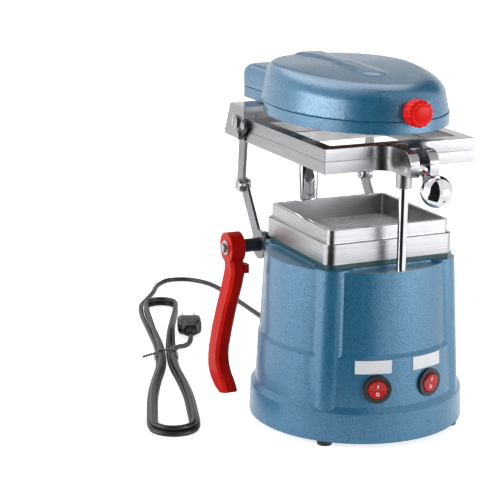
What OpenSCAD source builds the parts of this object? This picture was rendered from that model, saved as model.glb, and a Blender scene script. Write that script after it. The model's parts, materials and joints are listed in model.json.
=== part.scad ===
// Dental vacuum former. A round cast body holds a vacuum motor under a perforated tray.
// Two clamped sheet frames slide on a rear post and a front rod, moved by a handle and two cranks.
// A heating head swings over them on the post. Millimetres, +Z up, front towards -Y.
// The origin is on the table, under the middle of the body.

/* [Stand] */
// Height of each rubber foot
foot_h = 5; // [4:0.5:7]
// Diameter of each rubber foot
foot_d = 14.4; // [12:0.4:18]
// Distance from the body's bottom edge in to the axis of each foot
foot_inset = 7.8; // [7.4:0.2:9.4]
// Thickness of the steel base plate
base_plate_t = 2.5; // [1.5:0.5:4]
// Diameter of the screws through the feet
foot_screw_d = 4; // [3:0.5:5]

/* [Body casting] */
// Radius of the bottom edge
base_r = 93.3; // [91:0.5:98]
// Height of the base flange
flange_h = 25; // [20:1:30]
// Radius of the flange at its top
flange_top_r = 92.3; // [91:0.1:93]
// Height of the chamfer above the flange
step_low_h = 5; // [3:0.5:6]
// Height of the chamfer between the panels
step_up_h = 3; // [2:0.5:5]
// Radius at the foot of the lower panel
panel_low_r = 88.2; // [87:0.2:89.4]
// Radius at the top of the lower panel
panel_mid_r = 86; // [85.4:0.2:87]
// Height of the lower panel
panel_h = 41; // [36:0.5:46]
// Radius at the foot of the upper panel
panel_up_r = 83.4; // [82:0.2:84.6]
// Radius of the deck
deck_r = 80; // [78:0.5:81.5]
// Height of the casting from its bottom edge to the deck
body_h = 143.7; // [135:0.5:160]
// Wall of the casting
wall_t = 4; // [3:0.5:5]
// Thickness of the deck
deck_t = 6; // [5:0.5:8]
// Radius of the four upright corner ribs
rib_r = 16; // [14:0.2:18]
// Distance from the body axis to a rib's own axis at the deck
rib_ring_r = 68.7; // [67:0.1:70]
// Side of the square seat raised on the deck
seat_w = 120; // [116:1:122]
// Height of that seat above the deck
seat_h = 1.3; // [0.8:0.1:2.5]
// Diameter of the suction port in the deck
port_d = 30; // [20:1:40]

/* [Tray] */
// Distance of the tray's middle behind the body axis
tray_y = 1.5; // [0:0.5:3]
// Thickness of the rubber gasket under the tray
gasket_t = 3.8; // [2:0.2:5]
// Side of the gasket
gasket_w = 117.6; // [112:0.4:119]
// Side of the tray's lower tier
tray_w = 120.4; // [118:0.2:124]
// Height of the lower tier
tray_low_h = 17.4; // [14:0.2:20]
// Side of the tray's upper tier
tray_top_w = 113.8; // [108:0.2:116]
// Height of the upper tier
tray_top_h = 11.5; // [8:0.5:14]
// Wall of the upper tier
tray_wall = 3.6; // [2.5:0.1:5]
// Depth of the tray above its perforated plate
tray_depth = 18.2; // [14:0.2:21]
// Thickness of the perforated plate
mesh_t = 1.2; // [0.8:0.1:2]
// Diameter of the plate's holes
mesh_hole_d = 2.4; // [1.5:0.1:3]
// Distance between the holes in a row
mesh_pitch = 8; // [7:0.5:12]

/* [Post, rod and carriage] */
// Distance of the rear post behind the body axis
post_y = 101; // [99:0.5:104]
// Diameter of the rear post
post_d = 22; // [20:0.5:24]
// Depth of the post in its socket
post_socket = 55; // [40:1:70]
// Distance of the guide rod in front of the body axis
rod_y = 75; // [73:0.5:76]
// Diameter of the guide rod
rod_d = 8; // [6:0.5:9]
// Depth of the rod in its socket
rod_socket = 20; // [14:1:26]
// Travel of the carriage from the top to the tray's ledge
travel = 62; // [55:1:70]
// Thickness of the lower sheet frame
frame_low_t = 10.2; // [8:0.2:12]
// Thickness of the upper sheet frame
frame_up_t = 10.4; // [8:0.2:12]
// Gap between the tray's upper tier and the frames' window
window_gap = 1.1; // [0.8:0.1:2]
// Width of the frames' side rims
rim_side = 12; // [10:0.5:14]
// Width of the frames' front rim
rim_front = 13; // [11:0.5:15]
// Width of the frames' rear rim
rim_rear = 23; // [20:0.5:24]
// Reach of the clamp lug in front of the frames
lug_reach = 38.5; // [34:0.5:42]
// Width of the clamp lug
lug_w = 26.4; // [24:0.4:32]
// Width of the slot in the lug
slot_w = 9.2; // [8:0.2:11]
// Length of the slot in the lug
slot_l = 17; // [15:0.5:20]
// Outer diameter of the rod boss under the lower frame
rod_boss_d = 13.4; // [13:0.2:18]
// Height of that boss
rod_boss_h = 15; // [10:0.5:20]
// Thickness of the carriage's steel sheet
sheet_t = 3; // [2:0.25:3.5]
// Height of the carriage's cheeks
cheek_h = 29.8; // [27:0.2:34]
// Depth of the carriage's cheeks at the top
cheek_top_l = 29; // [27:0.5:34]
// Depth of the carriage's cheeks at the bottom
cheek_low_l = 42; // [36:0.5:46]
// Outer diameter of the sleeve round the post
sleeve_d = 34; // [32:0.5:38]

/* [Crank drive] */
// Distance of the crank shaft behind the body axis
crank_y = 71.2; // [70:0.2:73]
// Depth of the crank shaft's axis below the deck
crank_drop = 6.1; // [5.8:0.1:9]
// Diameter of the crank shaft
crank_d = 12; // [10:0.5:12.5]
// Length of each crank, from shaft to knuckle
crank_l = 58.2; // [56:0.2:60]
// Angle of the cranks above level at rest
crank_angle = 55; // [52:1:58]
// Distance of the links' upper pivot behind the carriage's front
link_top_inset = 15.35; // [13.35:0.5:17.35]
// Depth of that pivot below the top of the carriage
link_top_drop = 15.2; // [13:0.2:18]
// Thickness of the crank arms and of the links
bar_t = 3; // [2:0.25:3.5]
// Width of the links
link_w = 12; // [10:0.5:14]
// Width of the crank arms
arm_w = 12.6; // [11:0.2:14]
// Diameter of the crank arms' hubs
hub_d = 26; // [22:0.5:30]
// Distance from the carriage's side in to the inner face of each crank arm
arm_inset = 12.6; // [11:0.2:13]
// Diameter of the pivot screws' shanks
pivot_d = 5; // [4:0.5:6]

/* [Handle] */
// Distance from the body axis to the handle's inner face
handle_x = 80.5; // [78:0.5:84]
// Thickness of the handle
handle_t = 13; // [10:0.5:15]
// Depth of the grip, front to back
grip_w = 20; // [18:0.5:24]
// Diameter of the handle's eye
eye_d = 27; // [24:0.5:30]

/* [Heating head] */
// Gap between the upper frame and the head
head_gap = 10.8; // [9:0.2:13]
// Height of the head's lower rim
head_rim_h = 9.5; // [8:0.5:12]
// Height of the domed cover
dome_h = 32.5; // [30:0.5:40]
// Reach of the cover's round shoulder at the rear
dome_rear_r = 8; // [6:0.5:14]
// Reach of the cover's round shoulder at the front
dome_front_r = 22.5; // [16:0.5:30]
// Reach of the dome past each side of the frames
dome_over = 2.5; // [0.5:0.5:6]
// Half length of the dome
dome_b = 99; // [95:0.5:102]
// Distance of the dome's middle behind the body axis
dome_y = 12; // [8:0.5:16]
// Half width of the tail over the post
tail_w = 48.5; // [44:0.5:52]
// Distance of the tail's end behind the body axis
tail_y = 143.5; // [138:0.5:150]
// Height of the tail's cover
tail_h = 20.5; // [19:0.5:24]
// Wall of the head's castings
head_wall = 3; // [2:0.25:4]
// Radius of the heater window
heater_r = 58; // [50:1:60]
// Diameter of the head's red knob
knob_d = 22.8; // [20:0.4:26]
// Length of the red knob
knob_l = 12.5; // [10:0.5:16]

/* [Clamp] */
// Diameter of the ball knob
ball_d = 26.2; // [24:0.4:28]
// Distance from the swing bolt's pin to the ball's middle
bolt_l = 28.6; // [27:0.2:31]
// Angle of the swing bolt below level at rest
bolt_drop = 26.5; // [20:0.5:30]

/* [Switches and cord] */
// Diameter of the switch bezels
bezel_d = 24; // [22:0.2:25]
// Height of the switches above the table
switch_z = 51.2; // [50:0.2:53]
// Angle of each switch from the front
switch_angle = 16.3; // [15:0.1:18]
// Diameter of the cord
cord_d = 5; // [4.5:0.5:6]

/* [Hidden] */
$fn = 64;

// Clearances
run_gap = 0.06;
fixed_gap = 0.03;
slide_gap = 0.05;
face_gap = 0.3;

// Heights
base_z = foot_h;
deck_z = base_z + body_h;
seat_z = deck_z + seat_h;
tray_z = seat_z + gasket_t;
ledge_z = tray_z + tray_low_h;
tray_rim_z = ledge_z + tray_top_h;
mesh_z = tray_rim_z - tray_depth - mesh_t;
frame_z = ledge_z + face_gap + travel;
split_z = frame_z + frame_low_t;
frame_top_z = split_z + frame_up_t;
head_z = frame_top_z + head_gap;
seam_z = head_z + head_rim_h;
flange_z = base_z + flange_h;
panel_z = flange_z + step_low_h;
step_z = panel_z + panel_h;
upper_z = step_z + step_up_h;
casting_floor_z = base_z + base_plate_t;
foot_ring_r = base_r - foot_inset;

// Widths across the frames, the carriage and the cranks
window_w = tray_top_w + 2 * window_gap;
frame_w = window_w + 2 * rim_side;
cheek_x = frame_w / 2 + 2;
arm_x = cheek_x - arm_inset;
frame_screw_x = frame_w / 2 - 20;
dome_a = frame_w / 2 + dome_over;

// Body
rib_lean = 1.15 * (panel_up_r - deck_r) / (deck_z - upper_z);
rib_top_z = seat_z;
seat_corner_r = 9;
boss_r = 6;
post_boss_r = post_d / 2 + 7;
rod_boss_r = rod_d / 2 + 2.4;
crank_z = deck_z - crank_drop;
tunnel_r = crank_d / 2 + 4.4;
tunnel_x = arm_x - 5.4;
bush_wall = 2;
bush_flange_t = arm_x - tunnel_x - face_gap;

// Vacuum motor
turbine_r = 58;
turbine_h = 34;
turbine_top_z = deck_z - deck_t - 12;
turbine_z = turbine_top_z - turbine_h;
turbine_wall = 2;
turbine_ear_r = 66;
turbine_ear_z = turbine_z + 18;
can_r = 44;
can_h = 58;
can_wall = 2.5;
can_top_z = turbine_z - face_gap;
can_z = can_top_z - can_h;
rotor_d = 8;
bearing_r = 11;
bearing_t = 7;

// Frames and carriage
frame_front_y = tray_y - window_w / 2 - rim_front;
frame_rear_y = tray_y + window_w / 2 + rim_rear;
lug_tip_y = frame_front_y - lug_reach;
carriage_top_z = head_z - 0.6;
carriage_z = carriage_top_z - cheek_h;
carriage_y = frame_rear_y + face_gap / 2;
link_top_y = carriage_y + link_top_inset;
link_top_z = carriage_top_z - link_top_drop;
link_x = arm_x + bar_t + face_gap;
knuckle_y = crank_y + crank_l * cos(crank_angle);
knuckle_z = crank_z + crank_l * sin(crank_angle);
link_l = norm([knuckle_y - link_top_y, link_top_z - knuckle_z]);
link_angle = atan2(knuckle_y - link_top_y, link_top_z - knuckle_z);
pivot_head_r = pivot_d / 2 + 3;
pivot_head_t = 2;
hinge_y = frame_rear_y - 4.5;
hinge_z = split_z + frame_up_t / 2;
hinge_d = 5;

// Clamp
clamp_y = lug_tip_y + 7;
clamp_z = frame_z + frame_low_t / 2;
clamp_pin_d = 5;
bolt_eye_r = 4.8;
bolt_d = 6;

// Head
post_neck_d = post_d - 6;
post_shoulder_z = head_z + 4;
post_neck_top_z = post_shoulder_z + 18;
cable_d = 8;
knob_z = head_z + 18;
knob_y = dome_y - dome_b + 0.6;

// Switches
switch_hole_r = 10.1;
switch_y = panel_mid_r + 0.6;
rocker_r = 8.2;
rocker_tilt = 7;
label_angles = [-18.4, 15.4];

// Cord
gland_angle = 22;
gland_z = 48;
gland_y = 88;
tube_r = cord_d / 2;

function ellipse_points(a, b, y, n) = [for (i = [0:n - 1]) [a * cos(360 * i / n), y + b * sin(360 * i / n)]];

// A square with round corners, standing on its middle
module round_square(w, r) {
    offset(r = r) square(w - 2 * r, center = true);
}

// The same square made of plain shapes, so that its corners stay true cylinders
module corner_square(w, d, r) {
    square([w, d - 2 * r], center = true);
    square([w - 2 * r, d], center = true);
    for (x = [-1, 1], y = [-1, 1]) translate([x * (w / 2 - r), y * (d / 2 - r)]) circle(r);
}

module along_x() {
    rotate([90, 0, 90]) children();
}

module at_corners() {
    for (a = [45:90:315]) rotate([0, 0, a]) children();
}

module slotted_head(r, t) {
    difference() {
        cylinder(r = r, h = t);
        translate([-r, -0.5, t - 0.9]) cube([2 * r, 1, 1]);
    }
}

// Body, base and feet

module body_outline(shrink) {
    polygon([[0, base_z], [base_r - shrink, base_z], [flange_top_r - shrink, flange_z],
        [panel_low_r - shrink, panel_z], [panel_mid_r - shrink, step_z],
        [panel_up_r - shrink, upper_z], [deck_r - shrink, deck_z], [0, deck_z]]);
}

module rib() {
    lean = atan(rib_lean);
    translate([rib_ring_r, 0, rib_top_z]) rotate([0, 180 - lean, 0])
        cylinder(r = rib_r, h = (rib_top_z - flange_z) / cos(lean));
    // Fills the low side of the leaning end
    translate([rib_ring_r, 0, rib_top_z]) rotate([0, 180 - lean, 0]) translate([0, 0, -2])
        cylinder(r = rib_r, h = 3);
}

module tunnel_outline() {
    translate([crank_y, crank_z]) circle(tunnel_r);
    polygon([[crank_y + tunnel_r, crank_z], [crank_y - tunnel_r, crank_z],
        [crank_y - tunnel_r, crank_z - 12], [crank_y - 2, crank_z - 24]]);
}

module body_solid() {
    difference() {
        union() {
            rotate_extrude($fn = 128) body_outline(0);
            at_corners() rib();
            translate([0, 0, deck_z - 1]) linear_extrude(seat_h + 1)
                corner_square(seat_w, seat_w, seat_corner_r);
        }
        intersection() {
            rotate_extrude($fn = 128) body_outline(wall_t);
            translate([0, 0, base_z - 1]) cylinder(r = base_r, h = body_h + 1 - deck_t);
        }
        translate([0, 0, base_z - 1]) cylinder(r = base_r - wall_t, h = base_plate_t + 1);
    }
    // Housing of the crank shaft across the rear of the deck
    translate([-tunnel_x, 0, 0]) along_x() linear_extrude(2 * tunnel_x) tunnel_outline();
    // Socket column of the rear post
    difference() {
        union() {
            translate([0, post_y, step_z]) cylinder(r = post_boss_r, h = deck_z - step_z);
            translate([-post_boss_r, deck_r - wall_t, step_z])
                cube([2 * post_boss_r, post_y - deck_r + wall_t, deck_z - step_z]);
        }
        translate([0, post_y + post_boss_r + 2, step_z - 1]) rotate([45, 0, 0])
            cube([3 * post_boss_r, 24, 24], center = true);
    }
    // Socket of the guide rod, behind the front wall
    translate([0, rod_boss_r - deck_r + 0.2, deck_z - rod_socket - 4])
        cylinder(r = rod_boss_r, h = rod_socket + 4);
    // Screw bosses behind the ribs, each with a web to the wall
    intersection() {
        rotate_extrude($fn = 128) body_outline(wall_t / 2);
        at_corners() translate([foot_ring_r - 3, 0, casting_floor_z]) {
            cylinder(r = boss_r, h = 20);
            translate([0, -2, 0]) cube([base_r, 4, 20]);
        }
    }
    // Pads that carry the turbine
    for (a = [90, 210, 330]) rotate([0, 0, a])
        translate([turbine_ear_r, 0, turbine_ear_z + 3])
            cylinder(r = 5, h = deck_z - deck_t - turbine_ear_z - 3 + 1);
}

module at_switch(side) {
    rotate([0, 0, side * switch_angle]) translate([0, -switch_y, switch_z]) rotate([90, 0, 0])
        children();
}

module body_casting() color("steelblue") difference() {
    body_solid();
    translate([-base_r, -base_r, rib_top_z]) cube([2 * base_r, 2 * base_r, 8]);
    translate([0, 0, deck_z - deck_t - 1]) cylinder(d = port_d, h = deck_t + seat_h + 2);
    translate([-tunnel_x - 1, crank_y, crank_z]) rotate([0, 90, 0])
        cylinder(r = crank_d / 2 + bush_wall, h = 2 * tunnel_x + 2);
    translate([0, post_y, deck_z - post_socket]) cylinder(d = post_d, h = post_socket + 1);
    translate([0, post_y, step_z - 1]) cylinder(d = cable_d + 0.6, h = deck_z - step_z);
    translate([0, panel_up_r - 16, deck_z - post_socket - 12]) rotate([-90, 0, 0])
        cylinder(d = cable_d + 0.6, h = post_y - panel_up_r + 16);
    translate([0, -rod_y, deck_z - rod_socket]) cylinder(d = rod_d, h = rod_socket + 1);
    at_corners() translate([foot_ring_r, 0, base_z - 1]) cylinder(d = foot_screw_d, h = 18);
    // Room for the hubs of the crank arms
    for (side = [-1, 1]) translate([side * (tunnel_x + 10), crank_y, crank_z]) rotate([0, 90, 0])
        cylinder(r = hub_d / 2 + 1.2, h = 20, center = true);
    for (a = [90, 210, 330]) rotate([0, 0, a])
        translate([turbine_ear_r, 0, turbine_ear_z]) cylinder(d = 3, h = 12);
    for (side = [-1, 1]) at_switch(side) {
        cylinder(d = bezel_d + 0.6, h = 12);
        translate([0, 0, -14]) cylinder(r = switch_hole_r, h = 26);
    }
    rotate([0, 0, 180 - gland_angle]) translate([0, -gland_y + 14, gland_z]) rotate([90, 0, 0])
        cylinder(d = gland_hole_d, h = 30);
}

module base_plate() color("dimgray") difference() {
    translate([0, 0, base_z]) cylinder(r = base_r - wall_t - face_gap, h = base_plate_t);
    at_corners() translate([foot_ring_r, 0, base_z - 1])
        cylinder(d = foot_screw_d + 0.4, h = base_plate_t + 2);
    for (a = [0:30:330]) rotate([0, 0, a]) translate([34, 0, base_z - 1])
        cylinder(d = 8, h = base_plate_t + 2);
}

module feet() color("black") at_corners() translate([foot_ring_r, 0, 0]) difference() {
    cylinder(d1 = foot_d - 2, d2 = foot_d, h = foot_h);
    translate([0, 0, -1]) cylinder(r = foot_screw_d / 2 + 2.2, h = foot_h / 2 + 1);
    translate([0, 0, -1]) cylinder(d = foot_screw_d + 0.4, h = foot_h + 2);
}

module foot_screws() color("silver") at_corners() translate([foot_ring_r, 0, foot_h / 2]) {
    translate([0, 0, -1.8]) cylinder(r = foot_screw_d / 2 + 1.8, h = 1.8);
    translate([0, 0, -0.5]) cylinder(d = foot_screw_d - 2 * fixed_gap, h = 14);
}

// Gasket, tray and perforated plate

module deck_gasket() color("darkslategray") translate([0, tray_y, seat_z]) difference() {
    linear_extrude(gasket_t) corner_square(gasket_w, gasket_w, 8);
    translate([0, 0, -1]) cylinder(d = port_d + 8, h = gasket_t + 2);
}

module tray() color("silver") translate([0, tray_y, tray_z]) {
    inner = tray_top_w - 2 * tray_wall;
    difference() {
        union() {
            linear_extrude(tray_low_h) corner_square(tray_w, tray_w, 8.6);
            linear_extrude(tray_low_h + tray_top_h) corner_square(tray_top_w, tray_top_w, 5.6);
        }
        translate([0, 0, mesh_z - tray_z]) linear_extrude(tray_depth + mesh_t + 1)
            corner_square(inner, inner, 2);
        translate([0, 0, 3.4]) linear_extrude(tray_low_h) corner_square(inner - 14, inner - 14, 8);
        translate([0, 0, -1]) cylinder(d = port_d, h = 6);
        for (x = [-1, 1], y = [-1, 1]) translate([x * (inner / 2 - 3.5), y * (inner / 2 - 3.5), 2])
            cylinder(d = 2.4, h = 20);
    }
}

module perforated_plate() color("lightgray") translate([0, tray_y, mesh_z]) {
    inner = tray_top_w - 2 * tray_wall;
    rows = floor((inner - 16) / (mesh_pitch / 2) / 2);
    difference() {
        linear_extrude(mesh_t) corner_square(inner - 0.6, inner - 0.6, 2);
        for (j = [-rows:rows])
            for (i = [-rows / 2 + (abs(j) % 2) / 2:rows / 2])
                translate([i * mesh_pitch, j * mesh_pitch / 2, -1])
                    cylinder(d = mesh_hole_d, h = mesh_t + 2, $fn = 16);
        for (x = [-1, 1], y = [-1, 1]) translate([x * (inner / 2 - 3.5), y * (inner / 2 - 3.5), -1])
            cylinder(d = 2.6, h = mesh_t + 2);
    }
}

module plate_screws() color("gray") translate([0, tray_y, mesh_z + mesh_t]) {
    inner = tray_top_w - 2 * tray_wall;
    for (x = [-1, 1], y = [-1, 1]) translate([x * (inner / 2 - 3.5), y * (inner / 2 - 3.5), 0]) {
        slotted_head(2.4, 1.3);
        translate([0, 0, -7]) cylinder(d = 2.3, h = 7.2);
    }
}

// Vacuum motor

module turbine_housing() color("gainsboro") difference() {
    union() {
        translate([0, 0, turbine_z]) cylinder(r = turbine_r, h = turbine_h);
        for (a = [90, 210, 330]) rotate([0, 0, a]) translate([turbine_ear_r, 0, turbine_ear_z])
            cylinder(r = 6, h = 3);
        for (a = [90, 210, 330]) rotate([0, 0, a])
            translate([turbine_r - 4, -6, turbine_ear_z]) cube([turbine_ear_r - turbine_r + 4, 12, 3]);
    }
    translate([0, 0, turbine_z + turbine_wall])
        cylinder(r = turbine_r - turbine_wall, h = turbine_h - 2 * turbine_wall);
    translate([0, 0, turbine_top_z - turbine_wall - 1]) cylinder(d = port_d, h = turbine_wall + 2);
    translate([0, 0, turbine_z - 1]) cylinder(d = rotor_d + 2, h = turbine_wall + 2);
    for (a = [90, 210, 330]) rotate([0, 0, a]) translate([turbine_ear_r, 0, turbine_ear_z - 1])
        cylinder(d = 3.4, h = 5);
    // Outlet slots low in the drum
    for (a = [0:60:300]) rotate([0, 0, a + 30]) translate([turbine_r - 4, -6, turbine_z + 5])
        cube([8, 12, 6]);
}

module turbine_seal() color("black") translate([0, 0, turbine_top_z]) difference() {
    cylinder(r = port_d / 2 + 10, h = deck_z - deck_t - turbine_top_z);
    translate([0, 0, -1]) cylinder(d = port_d, h = 20);
}

module turbine_screws() color("gray") for (a = [90, 210, 330]) rotate([0, 0, a])
    translate([turbine_ear_r, 0, turbine_ear_z]) {
        translate([0, 0, -2]) cylinder(r = 3, h = 2);
        translate([0, 0, -1]) cylinder(d = 3 - 2 * fixed_gap, h = 11);
    }

module motor_can() color("slategray") difference() {
    union() {
        translate([0, 0, can_z]) cylinder(r = can_r, h = can_h);
        translate([0, 0, can_top_z]) cylinder(r = bearing_r + 6, h = face_gap);
    }
    translate([0, 0, can_z + can_wall]) cylinder(r = can_r - can_wall, h = can_h - 2 * can_wall);
    translate([0, 0, can_z - 1]) cylinder(r = rotor_d / 2 + 1.2, h = can_h + 2);
    for (a = [0:45:315]) rotate([0, 0, a]) translate([28, 0, can_z - 1]) cylinder(d = 9, h = can_wall + 2);
}

module motor_bearings() color("silver") for (z = [can_z + can_wall, can_top_z - can_wall - bearing_t])
    translate([0, 0, z]) difference() {
        cylinder(r = bearing_r, h = bearing_t);
        translate([0, 0, -1]) cylinder(r = rotor_d / 2 + run_gap, h = bearing_t + 2);
    }

module motor_shaft() color("lightgray")
    translate([0, 0, can_z + 0.5]) cylinder(d = rotor_d, h = turbine_top_z - 9 - can_z);

module armature() color("sienna")
    translate([0, 0, can_z + can_wall + bearing_t + 4]) difference() {
        union() {
            cylinder(r = 30, h = can_h - 2 * (can_wall + bearing_t + 4) - 8);
            cylinder(r = 14, h = can_h - 2 * (can_wall + bearing_t + 4));
        }
        translate([0, 0, -1]) cylinder(r = rotor_d / 2 + fixed_gap, h = can_h);
    }

module impeller() color("lightsteelblue") {
    floor_z = turbine_z + turbine_wall + 5;
    difference() {
        union() {
            translate([0, 0, floor_z]) cylinder(r = turbine_r - turbine_wall - 4, h = 1.6);
            translate([0, 0, floor_z]) cylinder(r = 9, h = 12);
            for (a = [0:40:320]) rotate([0, 0, a]) translate([9, -0.8, floor_z])
                rotate([0, 0, 12]) cube([turbine_r - turbine_wall - 16, 1.6, 15]);
        }
        translate([0, 0, floor_z - 1]) cylinder(r = rotor_d / 2 + fixed_gap, h = 20);
    }
}

// Post, rod and cable

module rear_post() color("gainsboro") difference() {
    union() {
        translate([0, post_y, deck_z - post_socket])
            cylinder(d = post_d - 2 * fixed_gap, h = post_shoulder_z - deck_z + post_socket);
        translate([0, post_y, post_shoulder_z - 1])
            cylinder(d = post_neck_d, h = post_neck_top_z - post_shoulder_z + 1);
    }
    translate([0, post_y, deck_z - post_socket - 1])
        cylinder(d = cable_d + 0.6, h = post_neck_top_z - deck_z + post_socket + 2);
}

module guide_rod() color("gainsboro") translate([0, -rod_y, deck_z - rod_socket])
    cylinder(d = rod_d - 2 * fixed_gap, h = frame_top_z - deck_z + rod_socket);

module heater_cable() color("white") translate([0, post_y, deck_z - post_socket - 10])
    cylinder(d = cable_d, h = seam_z + tail_h - head_wall - 3 - deck_z + post_socket + 10);

// Crank drive and handle

module crank_frame() {
    translate([0, crank_y, crank_z]) children();
}

module shaft_bushes() color("#16181c") for (side = [-1, 1]) crank_frame() scale([side, 1, 1])
    rotate([0, 90, 0]) difference() {
        union() {
            translate([0, 0, tunnel_x - 14]) cylinder(r = crank_d / 2 + bush_wall - fixed_gap, h = 14);
            translate([0, 0, tunnel_x]) cylinder(r = tunnel_r + 0.6, h = bush_flange_t);
        }
        translate([0, 0, tunnel_x - 15]) cylinder(r = crank_d / 2 + run_gap, h = 30);
    }

module crank_shaft() color("#3b3e45") crank_frame() rotate([0, 90, 0]) {
    translate([0, 0, -handle_x]) cylinder(d = crank_d, h = handle_x + arm_x + bar_t + 1.5);
    translate([0, 0, -handle_x - handle_t + 1]) cylinder(d = crank_d - 3, h = handle_t);
}

module arm_outline() {
    circle(d = hub_d);
    rotate(crank_angle) {
        translate([0, -arm_w / 2]) square([crank_l, arm_w]);
        translate([crank_l, 0]) circle(r = arm_w / 2 + 0.7);
    }
}

module crank_arm(side) crank_frame()
    translate([side > 0 ? arm_x : -arm_x - bar_t, 0, 0]) along_x() linear_extrude(bar_t) difference() {
        arm_outline();
        circle(r = crank_d / 2 + fixed_gap);
        rotate(crank_angle) translate([crank_l, 0]) circle(r = pivot_d / 2 + fixed_gap);
    }

module crank_arm_left() color("#9a9da0") crank_arm(-1);
module crank_arm_right() color("#9a9da0") crank_arm(1);

module link_bar() {
    difference() {
        union() {
            circle(r = link_w / 2 + 0.6);
            translate([-link_w / 2, -link_l]) square([link_w, link_l]);
            translate([0, -link_l]) circle(r = link_w / 2 + 0.6);
        }
        translate([0, -link_l]) circle(r = pivot_d / 2 + run_gap);
    }
}

// A link with the stud riveted into its upper eye
module link(side) translate([0, link_top_y, link_top_z]) {
    translate([side > 0 ? link_x : -link_x - bar_t, 0, 0]) along_x()
        linear_extrude(bar_t) rotate(link_angle) link_bar();
    translate([side * (link_x - 1), 0, 0]) rotate([0, 90, 0])
        cylinder(r = pivot_d / 2 + 1.6, h = 2.2, center = true);
}

module link_left() color("#a2a4a6") link(-1);
module link_right() color("#a2a4a6") link(1);

module knuckle_screws() color("#8d9093") for (side = [-1, 1])
    translate([0, knuckle_y, knuckle_z]) scale([side, 1, 1]) rotate([0, 90, 0]) {
        translate([0, 0, link_x + bar_t + face_gap]) rotate([0, 0, 30])
            slotted_head(pivot_head_r, pivot_head_t);
        translate([0, 0, arm_x - 4.4]) cylinder(d = pivot_d, h = link_x + bar_t + 4.8 - arm_x);
        translate([0, 0, arm_x - 3.6]) cylinder(r = pivot_d / 2 + 2.2, h = 3.6, $fn = 6);
    }

// Rear and front edges of the handle seen from the side, measured from the shaft's axis, by hand
handle_rear = [[6.8, -8.6], [5, -22.6], [5, -42.6], [5.2, -62.6], [6, -84.6], [6.6, -96.6],
    [4.4, -107.6], [-1.7, -116.1], [-11.2, -122.1], [-21.2, -125.6]];
handle_front = [[-9.2, -8.6], [-15.2, -22.6], [-14.8, -47.6], [-14.6, -70.6], [-13.6, -90.6],
    [-15.7, -100.6], [-21.7, -108.1], [-29.7, -114.6], [-34.7, -120.1], [-35.2, -122.1]];
// How far the handle leans out at each height
handle_lean = [[-132.6, 16.4], [-108.6, 16.2], [-89.6, 14.8], [-70.6, 12], [-52.6, 8], [-34.6, 3.4],
    [-25.6, 1.6], [-18.6, 0]];

// The bar of the handle as rings of eight corners, from its eye down to its end
module handle_bar() {
    n = 44;
    c = 2.6;
    m = len(handle_rear) - 1;
    verts = [for (i = [0:n]) let (a = catmull(handle_rear, m * i / n), b = catmull(handle_front, m * i / n),
        e = unit(b - a)) each [
            ring_corner(a, e, 0, c), ring_corner(a, e, c, 0),
            ring_corner(a, e, handle_t - c, 0), ring_corner(a, e, handle_t, c),
            ring_corner(b, -e, handle_t, c), ring_corner(b, -e, handle_t - c, 0),
            ring_corner(b, -e, c, 0), ring_corner(b, -e, 0, c)]];
    walls = [for (i = [0:n - 1]) for (k = [0:7]) let (l = (k + 1) % 8)
        each [[i * 8 + k, i * 8 + l, (i + 1) * 8 + l], [i * 8 + k, (i + 1) * 8 + l, (i + 1) * 8 + k]]];
    polyhedron(points = verts, faces = concat([[for (k = [7:-1:0]) k]], walls,
        [[for (k = [0:7]) n * 8 + k]]));
}

// A corner set off from an edge point by some distance across and some depth outwards
function ring_corner(edge, across, depth, off) = let (q = edge + across * off)
    [-handle_x - lookup(q[1], handle_lean) - depth, crank_y + q[0], crank_z + q[1]];

module handle() color("#c4170c") difference() {
    union() {
        handle_bar();
        translate([-handle_x - handle_t, crank_y, crank_z]) rotate([0, 90, 0]) cylinder(d = eye_d, h = handle_t);
        // Stop lug on the inner side
        translate([-handle_x - 1, crank_y - 12, crank_z - 22]) cube([5, 8, 8]);
    }
    crank_frame() rotate([0, 90, 0]) translate([0, 0, -handle_x - handle_t - 1])
        cylinder(r = (crank_d - 3) / 2 + fixed_gap, h = handle_t + 2);
}

module handle_washer() color("silver") crank_frame() rotate([0, 90, 0])
    translate([0, 0, -handle_x - handle_t - 1.2]) difference() {
        cylinder(d = 13, h = 1.2);
        translate([0, 0, -1]) cylinder(d = 5.2, h = 3);
    }

module handle_screw() color("silver") crank_frame() rotate([0, -90, 0])
    translate([0, 0, handle_x + handle_t + 1.2]) {
        slotted_head(4.4, 3);
        translate([0, 0, -2.2]) cylinder(d = 5, h = 2.3);
    }

// Carriage

module cheek_outline() {
    polygon([[carriage_y, carriage_z], [carriage_y, carriage_top_z],
        [carriage_y + cheek_top_l, carriage_top_z], [carriage_y + cheek_low_l, carriage_z + 2],
        [carriage_y + cheek_low_l - 2, carriage_z]]);
}

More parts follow.
